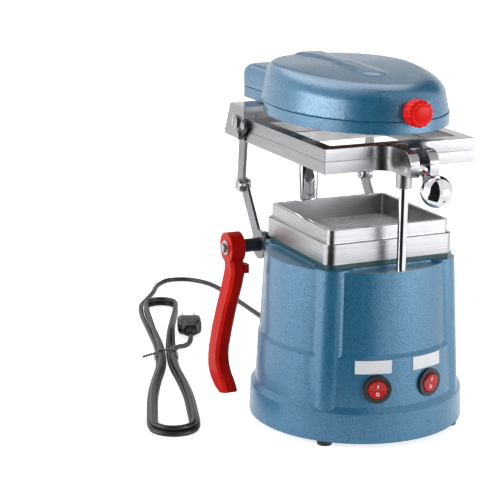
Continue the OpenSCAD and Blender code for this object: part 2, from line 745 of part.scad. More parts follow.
module carriage() color("#b4b6b8") difference() {
    union() {
        for (x = [-cheek_x, cheek_x - sheet_t]) translate([x, 0, 0]) along_x()
            linear_extrude(sheet_t) cheek_outline();
        translate([-cheek_x, carriage_y, carriage_top_z - sheet_t])
            cube([2 * cheek_x, cheek_top_l, sheet_t]);
        translate([-cheek_x, carriage_y, frame_z + 3])
            cube([2 * cheek_x, sheet_t, carriage_top_z - frame_z - 3]);
        translate([0, post_y, frame_z - 4]) cylinder(d = sleeve_d, h = carriage_top_z - frame_z + 4);
    }
    translate([0, post_y, frame_z - 5]) cylinder(d = sleeve_d - 8, h = carriage_top_z - frame_z + 6);
    for (side = [-1, 1]) translate([side * cheek_x, link_top_y, link_top_z]) rotate([0, 90, 0])
        cylinder(d = pivot_d, h = 3 * sheet_t, center = true);
    for (x = [-frame_screw_x, frame_screw_x]) translate([x, carriage_y - 1, frame_z + frame_low_t / 2]) rotate([-90, 0, 0])
        cylinder(d = 4.4, h = sheet_t + 2);
    for (side = [-1, 1]) translate([side * cheek_x, carriage_y + 7, hinge_z - 10]) rotate([0, 90, 0])
        cylinder(d = 3, h = 3 * sheet_t, center = true);
}

module post_bush() color("peru") translate([0, post_y, frame_z - 4]) difference() {
    cylinder(d = sleeve_d - 8 - 2 * fixed_gap, h = carriage_top_z - frame_z + 4);
    translate([0, 0, -1]) cylinder(r = post_d / 2 + slide_gap, h = carriage_top_z - frame_z + 6);
}

module link_screws() color("#8d9093") for (side = [-1, 1])
    translate([0, link_top_y, link_top_z]) scale([side, 1, 1]) rotate([0, 90, 0]) {
        translate([0, 0, cheek_x]) rotate([0, 0, 20]) slotted_head(pivot_head_r + 0.6, 2.4);
        translate([0, 0, cheek_x - sheet_t - 1]) cylinder(d = pivot_d - 2 * fixed_gap, h = sheet_t + 1.2);
        translate([0, 0, link_x + bar_t + 0.4])
            cylinder(r = pivot_d / 2 + 2.4, h = cheek_x - sheet_t - link_x - bar_t - 0.4);
    }

module frame_screws() color("gray") for (x = [-frame_screw_x, frame_screw_x])
    translate([x, carriage_y + sheet_t, frame_z + frame_low_t / 2]) rotate([-90, 0, 0]) {
        cylinder(r = 3.6, h = 2.4);
        translate([0, 0, -12]) cylinder(d = 4 - 2 * fixed_gap, h = 12.2);
    }

module hinge_plates() color("#55585c") for (side = [-1, 1])
    translate([side > 0 ? cheek_x : -cheek_x - 1.6, 0, 0]) along_x() linear_extrude(1.6) difference() {
        union() {
            translate([hinge_y, hinge_z]) circle(r = 5.6);
            translate([carriage_y + 7, hinge_z - 10]) circle(r = 4.4);
            polygon([[hinge_y - 4, hinge_z - 4], [hinge_y + 4, hinge_z + 4],
                [carriage_y + 7 + 3.1, hinge_z - 10 + 3.1], [carriage_y + 7 - 3.1, hinge_z - 10 - 3.1]]);
        }
        translate([hinge_y, hinge_z]) circle(r = hinge_d / 2 + fixed_gap);
        translate([carriage_y + 7, hinge_z - 10]) circle(r = 1.6);
    }

module hinge_screws() color("silver") for (side = [-1, 1]) scale([side, 1, 1]) {
    translate([cheek_x + 1.6, hinge_y, hinge_z]) rotate([0, 90, 0]) {
        slotted_head(3.6, 2);
        translate([0, 0, -8]) cylinder(d = hinge_d, h = 8.2);
    }
    translate([cheek_x + 1.6, carriage_y + 7, hinge_z - 10]) rotate([0, 90, 0]) {
        slotted_head(2.9, 1.6);
        translate([0, 0, -3.6]) cylinder(d = 3 - 2 * fixed_gap, h = 3.8);
    }
}

// Sheet frames

module lug_outline() {
    fillet = 14;
    half = lug_w / 2;
    difference() {
        translate([-half - fillet, lug_tip_y]) square([lug_w + 2 * fillet, lug_reach + 1]);
        for (side = [-1, 1]) translate([side * (half + fillet), frame_front_y - fillet]) circle(r = fillet);
        for (side = [-1, 1]) translate([side > 0 ? half : -half - fillet - 1, lug_tip_y - 1])
            square([fillet + 1, lug_reach - fillet + 1]);
        translate([-slot_w / 2, lug_tip_y - 1]) square([slot_w, slot_l + 1]);
    }
}

module frame_outline() {
    difference() {
        union() {
            translate([-frame_w / 2, frame_front_y]) square([frame_w, frame_rear_y - frame_front_y]);
            lug_outline();
        }
        translate([-window_w / 2, tray_y - window_w / 2]) square(window_w);
        translate([0, post_y]) circle(r = sleeve_d / 2 + face_gap);
    }
}

// Rounds the tips of the lug seen from the side
module lug_side_round(z, t, up) {
    r = 11;
    translate([-lug_w, lug_tip_y, up ? z + t - r : z - 1]) difference() {
        translate([0, -1, 0]) cube([2 * lug_w, r + 1, r + 1]);
        translate([-1, r, 0]) rotate([0, 90, 0]) cylinder(r = r, h = 2 * lug_w + 2);
    }
}

rod_hole_d = rod_d + 2.6;
rod_slot_w = rod_d + 3.4;
rod_slot_l = rod_d + 5.6;

module lower_frame() color("#c9cbcd") difference() {
    union() {
        translate([0, 0, frame_z]) linear_extrude(frame_low_t) frame_outline();
        translate([0, -rod_y, frame_z - rod_boss_h]) cylinder(d = rod_boss_d, h = rod_boss_h + 1);
    }
    translate([0, -rod_y, frame_z - rod_boss_h - 1])
        cylinder(d = rod_hole_d, h = rod_boss_h + frame_low_t + 2);
    translate([-lug_w, clamp_y, clamp_z]) rotate([0, 90, 0]) cylinder(d = clamp_pin_d, h = 2 * lug_w);
    for (x = [-frame_screw_x, frame_screw_x]) translate([x, frame_rear_y - 13, frame_z + frame_low_t / 2]) rotate([-90, 0, 0])
        cylinder(d = 4, h = 14);
}

module rod_bush() color("peru") translate([0, -rod_y, frame_z - rod_boss_h]) difference() {
    cylinder(d = rod_hole_d - 2 * fixed_gap, h = rod_boss_h + frame_low_t);
    translate([0, 0, -1]) cylinder(r = rod_d / 2 + slide_gap, h = rod_boss_h + frame_low_t + 2);
}

module upper_frame() color("#c9cbcd") difference() {
    translate([0, 0, split_z]) linear_extrude(frame_up_t) frame_outline();
    lug_side_round(split_z, frame_up_t, true);
    // Slot that lets the frame tip about its hinge while the rod stands in it
    translate([-rod_slot_w / 2, -rod_y - rod_slot_l / 2, split_z - 1])
        cube([rod_slot_w, rod_slot_l, frame_up_t + 2]);
    // Relief that lets the rear edge tip down
    translate([-frame_w, 0, 0]) along_x() linear_extrude(2 * frame_w) polygon([[hinge_y, split_z - 1],
        [hinge_y, split_z], [frame_rear_y - 0.5, split_z + 0.6], [frame_rear_y - 0.5, frame_top_z + 1],
        [frame_rear_y + 1, frame_top_z + 1], [frame_rear_y + 1, split_z - 1]]);
    for (side = [-1, 1]) translate([side * frame_w / 2, hinge_y, hinge_z]) rotate([0, 90, 0])
        cylinder(r = hinge_d / 2 + run_gap, h = 16, center = true);
}

module swing_pin() color("gray") translate([-lug_w / 2, clamp_y, clamp_z]) rotate([0, 90, 0])
    cylinder(d = clamp_pin_d - 2 * fixed_gap, h = lug_w);

// Puts the +Z axis along the swing bolt
module bolt_frame() {
    translate([0, clamp_y, clamp_z]) rotate([90 + bolt_drop, 0, 0]) children();
}

module swing_bolt() color("gainsboro") difference() {
    bolt_frame() {
        rotate([0, 90, 0]) cylinder(r = bolt_eye_r, h = slot_w - 2 * face_gap, center = true);
        cylinder(d = bolt_d, h = bolt_l + 2);
    }
    translate([-lug_w, clamp_y, clamp_z]) rotate([0, 90, 0])
        cylinder(r = clamp_pin_d / 2 + run_gap, h = 2 * lug_w);
}

module ball_knob() color("gainsboro") bolt_frame() difference() {
    union() {
        translate([0, 0, bolt_l]) sphere(d = ball_d, $fn = 48);
        translate([0, 0, bolt_l - ball_d / 2 - 3.4]) cylinder(r1 = 4.6, r2 = 7.4, h = 6);
    }
    translate([0, 0, bolt_l - ball_d]) cylinder(r = bolt_d / 2 + run_gap, h = ball_d + 2.1);
    translate([0, 0, bolt_l + ball_d / 2 - 3]) cylinder(d = 2.6, h = 4);
}

// Heating head

// Plan of the head: an ellipse that runs into a square tail
module head_plan(shrink) {
    r = 12;
    polygon(ellipse_points(dome_a - shrink, dome_b - shrink, dome_y, 96));
    w = tail_w - shrink;
    translate([-w, dome_y]) square([2 * w, tail_y - shrink - dome_y - r]);
    translate([-w + r, dome_y]) square([2 * w - 2 * r, tail_y - shrink - dome_y]);
    for (x = [-1, 1]) translate([x * (w - r), tail_y - shrink - r]) circle(r);
}

module head_rim() color("steelblue") difference() {
    union() {
        difference() {
            translate([0, 0, head_z]) linear_extrude(head_rim_h) head_plan(0);
            translate([0, 0, head_z + head_wall]) linear_extrude(head_rim_h) head_plan(head_wall);
        }
        translate([0, post_y, head_z]) cylinder(r = post_d / 2 + 9, h = 4 + 14);
        cover_boss_places() translate([0, 0, head_z]) cylinder(r = 5, h = head_rim_h);
    }
    translate([0, 0, head_z - 1]) cylinder(r = heater_r + 2, h = head_wall + 2);
    translate([0, post_y, head_z - 1]) cylinder(r = post_d / 2 + 3, h = 30);
    cover_boss_places() translate([0, 0, head_z - 1]) cylinder(d = 3.4, h = head_rim_h + 2);
    rear_screw_places() translate([0, 0, -1]) cylinder(r = 3.2, h = 2.9);
}

module rear_screw_places() {
    for (x = [-1, 1]) translate([x * (tail_w - 8.4), tail_y - 12, head_z]) children();
}

module front_screw_places() {
    for (x = [-1, 1]) translate([x * 30, dome_y - dome_b + 20, head_z]) children();
}

module cover_boss_places() {
    translate([0, 0, -head_z]) {
        rear_screw_places() children();
        front_screw_places() children();
    }
}

// The top is level at the rear and falls away to the front
function dome_fall(y) = y < 35 ? 0.17 * pow((35 - y) / 122, 1.3) : 0;

// Unit outline of the dome, a little squarer at the rear than an ellipse
function dome_side(a) = sign(cos(a)) * pow(abs(cos(a)), a < 180 ? 0.88 : 1);
function dome_length(a) = sign(sin(a)) * pow(abs(sin(a)), a < 180 ? 0.88 : 1);

// Reach of the round shoulder at some place along the dome
function dome_shoulder(y) = let (f = max(0, min(1, (y + 50) / 125)))
    dome_front_r + (dome_rear_r - dome_front_r) * f * f * (3 - 2 * f);

// Inset and share of the height at step k: the wall, the round shoulder and the crown
function dome_step(k, reach, half) = k < 4 ? [0.4 + 3.1 * k / 4, 0.45 * k / 4]
    : k < 12 ? [3.5 + reach * (1 - cos((k - 4) * 11.25)), 0.45 + 0.53 * sin((k - 4) * 11.25)]
    : let (v = (k - 12) / 3) [3.5 + reach + (0.97 * half - 3.5 - reach) * v, 0.98 + 0.02 * (2 * v - v * v)];

module dome(shrink) {
    n = 72;
    m = 15;
    half = dome_a - shrink;
    long = dome_b - shrink;
    top = dome_h - shrink;
    rings = [for (k = [0:m]) for (i = [0:n - 1]) let (a = 360 * i / n,
        step = dome_step(k, dome_shoulder(dome_y + long * dome_length(a)), half),
        y = dome_y + (long - step[0]) * dome_length(a))
            [(half - step[0]) * dome_side(a), y, seam_z + top * step[1] * (1 - dome_fall(y))]];
    crown = [0, dome_y, seam_z + top * (1 - dome_fall(dome_y))];
    sides = [for (k = [0:m - 1]) for (i = [0:n - 1]) let (j = (i + 1) % n)
        each [[k * n + i, (k + 1) * n + i, (k + 1) * n + j], [k * n + i, (k + 1) * n + j, k * n + j]]];
    polyhedron(points = concat(rings, [crown]), faces = concat([[for (i = [0:n - 1]) i]], sides,
        [for (i = [0:n - 1]) [m * n + i, (m + 1) * n, m * n + (i + 1) % n]]));
}

module tail_slice(inset, z, h) {
    w = tail_w - inset;
    l = tail_y - inset - dome_y - 20;
    translate([0, dome_y + 20 + l / 2, z]) linear_extrude(h) corner_square(2 * w, l, 10);
}

module tail_block(shrink) {
    h = tail_h - shrink;
    hull() {
        tail_slice(shrink, seam_z, h - 8);
        tail_slice(shrink + 2, seam_z, h - 3);
        tail_slice(shrink + 7, seam_z, h);
    }
}

module head_cover() color("steelblue") difference() {
    union() {
        dome(0);
        tail_block(0.6);
    }
    difference() {
        translate([0, 0, -0.01]) union() {
            dome(head_wall);
            tail_block(head_wall + 0.6);
        }
        cover_boss_places() translate([0, 0, seam_z - 1]) cylinder(r = 5, h = 12, $fn = 24);
    }
    cover_boss_places() translate([0, 0, seam_z - 1]) cylinder(d = 3.2, h = 11, $fn = 32);
    translate([0, dome_y, knob_z]) rotate([90, 0, 0]) cylinder(d = 6.4, h = dome_b + 8, $fn = 32);
}

module head_bush() color("peru") translate([0, post_y, post_shoulder_z]) difference() {
    union() {
        cylinder(r = post_d / 2 + 3 - fixed_gap, h = 14);
        translate([0, 0, 14]) cylinder(r = post_d / 2 + 7, h = 2.4);
    }
    translate([0, 0, -1]) cylinder(r = post_neck_d / 2 + run_gap, h = 20);
}

module post_cap() color("silver") translate([0, post_y, post_neck_top_z - 1.3]) difference() {
    cylinder(r = post_neck_d / 2 + 3, h = 1.6 + 0.9);
    translate([0, 0, -1]) cylinder(r = post_neck_d / 2 + fixed_gap, h = 1 + 1.3);
    translate([0, 0, -1]) cylinder(d = cable_d + 0.6, h = 8);
}

module cover_screws() color("black") {
    front_screw_places() cover_screw();
    rear_screw_places() translate([0, 0, 1.9]) cover_screw();
}

module cover_screw() {
    translate([0, 0, -1.6]) cylinder(r = 2.8, h = 1.6);
    translate([0, 0, -0.2]) cylinder(d = 3 - 2 * fixed_gap, h = head_rim_h + 6);
}

module heater_dish() color("silver") translate([0, 0, head_z]) rotate_extrude($fn = 96)
    polygon([[heater_r + 6, head_wall], [heater_r + 6, head_wall + 1.2], [heater_r - 4, head_wall + 1.2],
        [heater_r - 12, 20], [0, 20], [0, 18.8], [heater_r - 13, 18.8], [heater_r - 5, head_wall]]);

module heater_plate() color("#4c4a47") translate([0, 0, head_z]) {
    difference() {
        translate([0, 0, 8]) cylinder(r = heater_r - 10, h = 3);
        for (a = [0:60:300]) rotate([0, 0, a + 30]) translate([heater_r - 16, 0, 7]) cylinder(d = 4, h = 5);
    }
    // Pillars that hang the plate from the dish
    for (a = [0:90:270]) rotate([0, 0, a]) translate([heater_r - 22, 0, 10.9])
        cylinder(d = 5, h = 18.8 - 10.9);
}

module heating_element() color("#7a3a22") translate([0, 0, head_z + 8 - 3.3])
    for (r = [10:9:heater_r - 14]) rotate_extrude($fn = 64) translate([r, 0]) circle(d = 6, $fn = 20);

module head_knob() color("#e0120c") translate([0, knob_y, knob_z]) rotate([90, 0, 0]) difference() {
    union() {
        translate([0, 0, 2.2]) linear_extrude(knob_l) for (a = [0:40:320]) rotate(a)
            translate([knob_d / 2 - 4.4, 0]) circle(r = 4.4);
        translate([0, 0, 2.2]) cylinder(r = knob_d / 2 - 2.4, h = knob_l);
        translate([0, 0, -12]) cylinder(d = 6 - 2 * fixed_gap, h = 16);
        cylinder(r = 6, h = 2.3);
    }
}

// Switches and their labels

module switch_body(side) at_switch(side) difference() {
    union() {
        cylinder(d = bezel_d, h = 3);
        translate([0, 0, -13]) cylinder(r = switch_hole_r - 0.2, h = 13.1);
        for (x = [-5, 5]) translate([x - 0.4, -2.4, -20]) cube([0.8, 4.8, 8]);
    }
    translate([0, 0, -5]) cylinder(r = rocker_r + 0.35, h = 8);
    translate([0, 0, 1.4]) rotate([0, 90, 0]) cylinder(r = rocker_pin_r + run_gap, h = rocker_pin_l + 0.6, center = true);
}

rocker_pin_r = 1.2;
rocker_pin_l = 2 * rocker_r + 2.6;

module rocker_unit(side) at_switch(side) translate([0, 0, 1.4]) rotate([rocker_tilt, 0, 0]) {
    intersection() {
        sphere(r = rocker_r, $fn = 48);
        translate([0, 0, -1]) linear_extrude(6) square(2 * rocker_r, center = true);
        rotate([0, 90, 0]) linear_extrude(2 * rocker_r, center = true)
            polygon([[4, -rocker_r], [-3.6, -rocker_r], [-2.4, 0], [-3.6, rocker_r], [4, rocker_r]]);
    }
    // Pins that the rocker tips on
    rotate([0, 90, 0]) cylinder(r = rocker_pin_r, h = rocker_pin_l, center = true);
}

module switch_bodies() color("#141518") for (side = [-1, 1]) switch_body(side);
module rocker_left() color("#c4100c") rocker_unit(-1);
module rocker_right() color("#c4100c") rocker_unit(1);

module label_plates() color("white") for (a = label_angles) rotate([0, 0, a]) intersection() {
    translate([-15.5, -panel_low_r - 3, switch_z + bezel_d / 2 + 1.1]) cube([31, 30, 11.2]);
    rotate_extrude($fn = 128) polygon([[panel_mid_r + 0.1, step_z], [panel_mid_r + 0.7, step_z],
        [panel_low_r + 0.7, panel_z], [panel_low_r + 0.1, panel_z]]);
}

// Cord

gland_hole_d = 13;

module gland_frame() {
    rotate([0, 0, 180 - gland_angle]) translate([0, -gland_y, gland_z]) rotate([90, 0, 0]) children();
}

module cord_gland() color("black") gland_frame() difference() {
    union() {
        translate([0, 0, -7]) cylinder(d = gland_hole_d - 2 * fixed_gap, h = 8);
        cylinder(d = gland_hole_d + 4, h = 3);
        translate([0, 0, 2.9]) cylinder(r1 = 5, r2 = tube_r + 1, h = 24);
    }
    translate([0, 0, -8]) cylinder(r = tube_r + 0.2, h = 40);
}

function gland_at(r) = [r * sin(gland_angle), r * cos(gland_angle), gland_z];

// Points of the cord on its way from the gland to the hank, and from the hank to the plug, by hand
lead_route = [[52, 132, 44.5], [55.5, 147, 34], [57.5, 161, 18], [57.5, 176, 6.5], [56, 194, 3],
    [48, 230, 3], [43, 280, 3], [44, 340, 3], [45, 400, 3], [40, 432, 3], [26, 452, 3], [6, 457, 3],
    [-13, 442, 3], [-29, 416, 3], [-44.8, 394.4, 3], [-50, 387.7, 3]];
tail_route = [[-52.6, 251.9, 9], [-56.5, 241, 6.5], [-62, 229, 4.5], [-70, 218, 4.5],
    [-77, 212, 5.5], [-83, 209.4, 6]];

function unit(v) = v / norm(v);

function catmull(p, t) = let (n = len(p) - 1, i = min(floor(t), n - 1), f = t - i,
    a = p[max(i - 1, 0)], b = p[i], c = p[i + 1], d = p[min(i + 2, n)])
    0.5 * ((2 * b) + (c - a) * f + (2 * a - 5 * b + 4 * c - d) * f * f
        + (3 * b - a - 3 * c + d) * f * f * f);

// A tube swept along points, with its rings square to the path
module swept_tube(points, r, rings) {
    sides = 10;
    n = len(points) - 1;
    path = [for (i = [0:rings]) catmull(points, n * i / rings)];
    along = [for (i = [0:rings]) unit(path[min(i + 1, rings)] - path[max(i - 1, 0)])];
    verts = [for (i = [0:rings]) let (u = unit(cross(along[i], [0, 0, 1])), v = cross(u, along[i]))
        for (k = [0:sides - 1]) path[i] + r * (u * cos(360 * k / sides) + v * sin(360 * k / sides))];
    walls = [for (i = [0:rings - 1]) for (k = [0:sides - 1]) let (l = (k + 1) % sides)
        [i * sides + k, i * sides + l, (i + 1) * sides + l, (i + 1) * sides + k]];
    polyhedron(points = verts, faces = concat([[for (k = [sides - 1:-1:0]) k]], walls,
        [[for (k = [0:sides - 1]) rings * sides + k]]));
}

module cord_lead() color("black") {
    swept_tube(concat([gland_at(90), gland_at(103), gland_at(116), gland_at(129)],
        lead_route), tube_r, 84);
    swept_tube(tail_route, tube_r, 14);
}

hank_mid = [-103, 190];
hank_turn = 19.8;
hank_h = 10.4;
hank_waist = 21.4;

// Outline of the bundled turns, across and along the hank, by hand
hank_edge = [[0, 200], [9, 197], [15, 190], [17.5, 180], [17, 160], [14, 130], [11.6, 90], [10.7, 45],
    [10.7, 12], [13, -25], [18, -65], [22, -105], [23, -145], [22, -180], [16, -193], [7, -199], [-3, -200],
    [-13, -196], [-20, -186], [-23, -170], [-23, -135], [-21, -98], [-16, -55], [-11.6, -20], [-10.7, 12],
    [-12, 50], [-16, 90], [-20, 125], [-23, 155], [-23, 182], [-22, 196], [-20.5, 204], [-14, 202.8],
    [-12.3, 197], [-6, 199]];
front_eye = [[0, -30], [6, -60], [10.5, -100], [12.5, -140], [12, -178], [7, -187], [0, -190], [-7, -187],
    [-12, -178], [-12.5, -140], [-10.5, -100], [-6, -60]];
rear_eye = [[0, 78], [4, 95], [7.5, 125], [11, 155], [12, 178], [8, 189], [0, 194], [-8, 189], [-12, 178],
    [-12, 160], [-8, 120], [-4, 90]];

module hank_frame() {
    translate([hank_mid[0], hank_mid[1], 0]) rotate([0, 0, -hank_turn]) children();
}

module cord_hank() color("black") hank_frame() linear_extrude(hank_h) difference() {
    polygon(hank_edge);
    polygon(front_eye);
    polygon(rear_eye);
}

module cord_tie() color("black") hank_frame() translate([0, 12, 0]) difference() {
    translate([-hank_waist / 2 - 1.6, -3, 0]) cube([hank_waist + 3.2, 6, hank_h + 1.5]);
    translate([-hank_waist / 2 - 0.4, -4, -1]) cube([hank_waist + 0.8, 8, hank_h + 1.3]);
}

module plug_frame() {
    translate([-49, 262, 9]) rotate([0, 0, -hank_turn]) children();
}

module plug() color("#101114") plug_frame() {
    rotate([90, 0, 0]) translate([0, 0, -20]) linear_extrude(30, scale = 0.8)
        translate([0, 0]) corner_square(24, 16, 5);
}

module plug_pins() color("silver") plug_frame() {
    for (x = [-6, 6]) translate([x - 0.8, 20, -1]) cube([1.6, 16, 6.4]);
    translate([0, 20, -3.6]) rotate([-90, 0, 0]) cylinder(d = 4.6, h = 19);
}

base_plate();
feet();
foot_screws();
body_casting();
deck_gasket();
tray();
perforated_plate();
plate_screws();
turbine_housing();
turbine_seal();
turbine_screws();
motor_can();
motor_bearings();
motor_shaft();
armature();
impeller();
rear_post();
guide_rod();
heater_cable();
shaft_bushes();
crank_shaft();
crank_arm_left();
crank_arm_right();
handle();
handle_washer();
handle_screw();
link_left();
link_right();
knuckle_screws();
carriage();
post_bush();
link_screws();
frame_screws();
hinge_plates();
hinge_screws();
lower_frame();
rod_bush();
upper_frame();
swing_pin();
swing_bolt();
ball_knob();
head_rim();
head_cover();
head_bush();
post_cap();
cover_screws();
heater_dish();
heater_plate();
heating_element();
head_knob();
switch_bodies();
rocker_left();
rocker_right();
label_plates();
cord_gland();
cord_lead();
cord_hank();
cord_tie();
plug();
plug_pins();
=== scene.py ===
import json
import math
import bmesh
import bpy
from mathutils import Matrix, Vector


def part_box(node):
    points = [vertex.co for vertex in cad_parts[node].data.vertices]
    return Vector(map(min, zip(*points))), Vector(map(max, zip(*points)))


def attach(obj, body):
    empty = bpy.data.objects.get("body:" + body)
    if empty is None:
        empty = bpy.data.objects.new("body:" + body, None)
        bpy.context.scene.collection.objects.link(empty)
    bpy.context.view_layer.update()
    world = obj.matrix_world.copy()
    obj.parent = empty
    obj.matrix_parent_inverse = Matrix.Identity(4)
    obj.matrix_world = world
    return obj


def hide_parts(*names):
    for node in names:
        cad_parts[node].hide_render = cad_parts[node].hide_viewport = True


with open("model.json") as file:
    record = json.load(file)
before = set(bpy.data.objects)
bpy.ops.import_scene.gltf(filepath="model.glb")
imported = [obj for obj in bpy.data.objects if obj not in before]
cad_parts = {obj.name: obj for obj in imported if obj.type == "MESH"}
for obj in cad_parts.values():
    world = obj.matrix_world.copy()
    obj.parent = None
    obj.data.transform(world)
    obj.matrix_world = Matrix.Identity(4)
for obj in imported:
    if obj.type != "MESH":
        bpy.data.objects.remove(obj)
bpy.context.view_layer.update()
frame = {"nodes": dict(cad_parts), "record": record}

mm = 0.001
nodes = frame["nodes"]
print("frame loaded,", len(nodes), "nodes")


# camera: where the photographer stood, with a square picture
cameraPlace = {"stand": (-0.6687, -1.2311, 0.5100), "lookAt": (-0.1030, 0.0, 0.1584), "lens": 120.1,
               "sensor": 36.0, "roll": 0.44, "near": 0.05, "far": 20.0}


def makeCamera(c):
    data = bpy.data.cameras.new("photoCamera")
    data.lens, data.sensor_width = c["lens"], c["sensor"]
    data.clip_start, data.clip_end = c["near"], c["far"]
    cam = bpy.data.objects.new("photoCamera", data)
    bpy.context.collection.objects.link(cam)
    look = Vector(c["lookAt"]) - Vector(c["stand"])
    turn = look.to_track_quat("-Z", "Y").to_matrix().to_4x4()
    roll = Matrix.Rotation(math.radians(c["roll"]), 4, "Z")
    cam.matrix_world = Matrix.Translation(c["stand"]) @ turn @ roll
    bpy.context.scene.camera = cam


makeCamera(cameraPlace)
bpy.context.scene.view_settings.view_transform = "Standard"


# helpers for meshes
def newObject(name, data, body):
    o = bpy.data.objects.new(name, data)
    bpy.context.collection.objects.link(o)
    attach(o, body)
    return o


def meshFrom(name, verts, faces, smooth=True):
    mesh = bpy.data.meshes.new(name)
    mesh.from_pydata([tuple(v) for v in verts], [], faces)
    mesh.update()
    bm = bmesh.new()
    bm.from_mesh(mesh)
    bmesh.ops.recalc_face_normals(bm, faces=bm.faces)
    bm.to_mesh(mesh)
    bm.free()
    for p in mesh.polygons:
        p.use_smooth = smooth
    return mesh


def wrap(n, count, base=0):
    # walls between neighbours among count rings of n points, counted from point base
    return [(base + k * n + i, base + k * n + (i + 1) % n, base + (k + 1) * n + (i + 1) % n, base + (k + 1) * n + i)
            for k in range(count - 1) for i in range(n)]


def caps(n, count, base=0):
    last = base + (count - 1) * n
    return [tuple(base + i for i in range(n)), tuple(last + i for i in range(n))]


def loft(rings, capped=True):
    # walls between rings of points, with a face over each end
    n, count = len(rings[0]), len(rings)
    faces = wrap(n, count) + (caps(n, count) if capped else [])
    return [p for ring in rings for p in ring], faces


def lathe(profile, place, steps, wave=None, capped=True):
    # profile: (radius, height) in mm, turned about the local Z of place
    rings = []
    for r, z in profile:
        ring = []
        for i in range(steps):
            a = 2 * math.pi * i / steps
            q = r + (wave(a, r, z) if wave else 0)
            ring.append(place @ Vector((q * math.cos(a), q * math.sin(a), z)))
        rings.append(ring)
    return loft(rings, capped)


def toWorld(v):
    return Vector(v) * mm


def addModifiers(o, width, segments=2, angle=32, free=False):
    weld = o.modifiers.new("joinEdges", "WELD")
    weld.merge_threshold = 0.02 * mm
    bevel = o.modifiers.new("softEdges", "BEVEL")
    bevel.width, bevel.segments = width * mm, segments
    bevel.limit_method, bevel.angle_limit = "ANGLE", math.radians(angle)
    bevel.miter_outer = "MITER_ARC"
    bevel.use_clamp_overlap = not free
    even = o.modifiers.new("evenShade", "WEIGHTED_NORMAL")
    even.keep_sharp = False


# mains cord: one length from the gland, along the table, into a tied hank, to its plug
cordLook = {"diameter": 5.0, "glandTurn": 22.0, "glandHeight": 48.0, "fromAxis": (90, 103, 116, 129),
            "step": 4.0, "low": 2.6, "high": 7.1, "over": 7.8}
hank = {"middle": (-103.0, 190.0), "turn": 19.8, "tieAt": 12.0, "nearEnd": -177, "nearRadii": (20.3, 15.1, 17.7),
        "farEnds": (182, 180), "farRadius": 15.5, "foldSteps": 6}
# the lead, from the gland's mouth down to the table and round to the hank
leadRun = ((52, 132, 44.5), (55.5, 147, 34), (57.5, 161, 18), (57.5, 176, 6.5), (56, 194, 3), (48, 230, 3),
           (43, 280, 3), (44, 340, 3), (45, 400, 3), (40, 432, 3), (26, 452, 3), (6, 457, 3), (-13, 442, 3),
           (-29, 416, 3))


def glandPoint(r):
    a = math.radians(cordLook["glandTurn"])
    return Vector((r * math.sin(a), r * math.cos(a), cordLook["glandHeight"]))


def hankPoint(along, across, height):
    a = math.radians(hank["turn"])
    x, y = hank["middle"]
    return Vector((x + along * math.sin(a) + across * math.cos(a),
                   y + along * math.cos(a) - across * math.sin(a), height))


def fold(centre, radius, first, height):
    # half a turn round one end of the hank
    out = []
    for i in range(hank["foldSteps"] + 1):
        a = math.radians(first + 180 * i / hank["foldSteps"])
        out.append(hankPoint(centre + radius * math.sin(a), radius * math.cos(a), height))
    return out


def nearFold(turn, height):
    return fold(hank["nearEnd"], hank["nearRadii"][turn], 180, height)


def farFold(turn, height):
    return fold(hank["farEnds"][turn], hank["farRadius"], 0, height)


def run(height, rows):
    # rows: along, across and, where it isn't the run's own, the height
    return [hankPoint(r[0], r[1], r[2] if len(r) > 2 else height) for r in rows]


def cordPoints():
    low, high, over = cordLook["low"], cordLook["high"], cordLook["over"]
    points = [glandPoint(r) for r in cordLook["fromAxis"]] + [Vector(p) for p in leadRun]
    # first turn, outermost and on the table
    points += run(low, ((212, -14.5), (190, -20.6), (160, -21), (120, -17.2), (80, -12.4), (45, -9), (12, -8.1),
                        (-20, -9.2), (-60, -14.5), (-100, -18.6), (-140, -20.2)))
    points += nearFold(0, low)
    points += run(low, ((-140, 20.2), (-100, 18.6), (-60, 14.5), (-20, 9.4), (12, 8.1), (45, 8), (80, 8.6),
                        (115, 10.4), (145, 13.4), (165, 15.2)))
    points += farFold(0, low)
    # second turn, inside the first
    points += run(low, ((160, -15.2), (120, -11.6), (80, -7), (45, -3.8), (12, -2.7), (-20, -4), (-60, -9.3),
                        (-100, -13.4), (-140, -15)))
    points += nearFold(1, low)
    points += run(low, ((-140, 15), (-100, 13.4), (-60, 9.3), (-20, 4.2), (12, 2.7), (45, 3, 4.4), (80, 5.6, 7.6),
                        (115, 9.4, over), (145, 13, over), (165, 15, over)))
    points += farFold(1, over)
    # third turn lies in the groove between the first two
    points += run(high, ((160, -15.4, over), (120, -12.6, 7.6), (80, -9.4), (45, -6.4), (12, -5.4), (-20, -6.6),
                         (-60, -11.9), (-100, -16), (-140, -17.6)))
    points += nearFold(2, high)
    points += run(high, ((-140, 17.6), (-100, 16), (-60, 11.9), (-20, 6.8), (8, 6, 7.3), (26, 11.5, 8.0),
                         (38, 19, 5.4), (51, 24.6, 4.8), (63, 26.3, 7.6), (75, 26.4, 9), (82, 26.4, 9)))
    return points


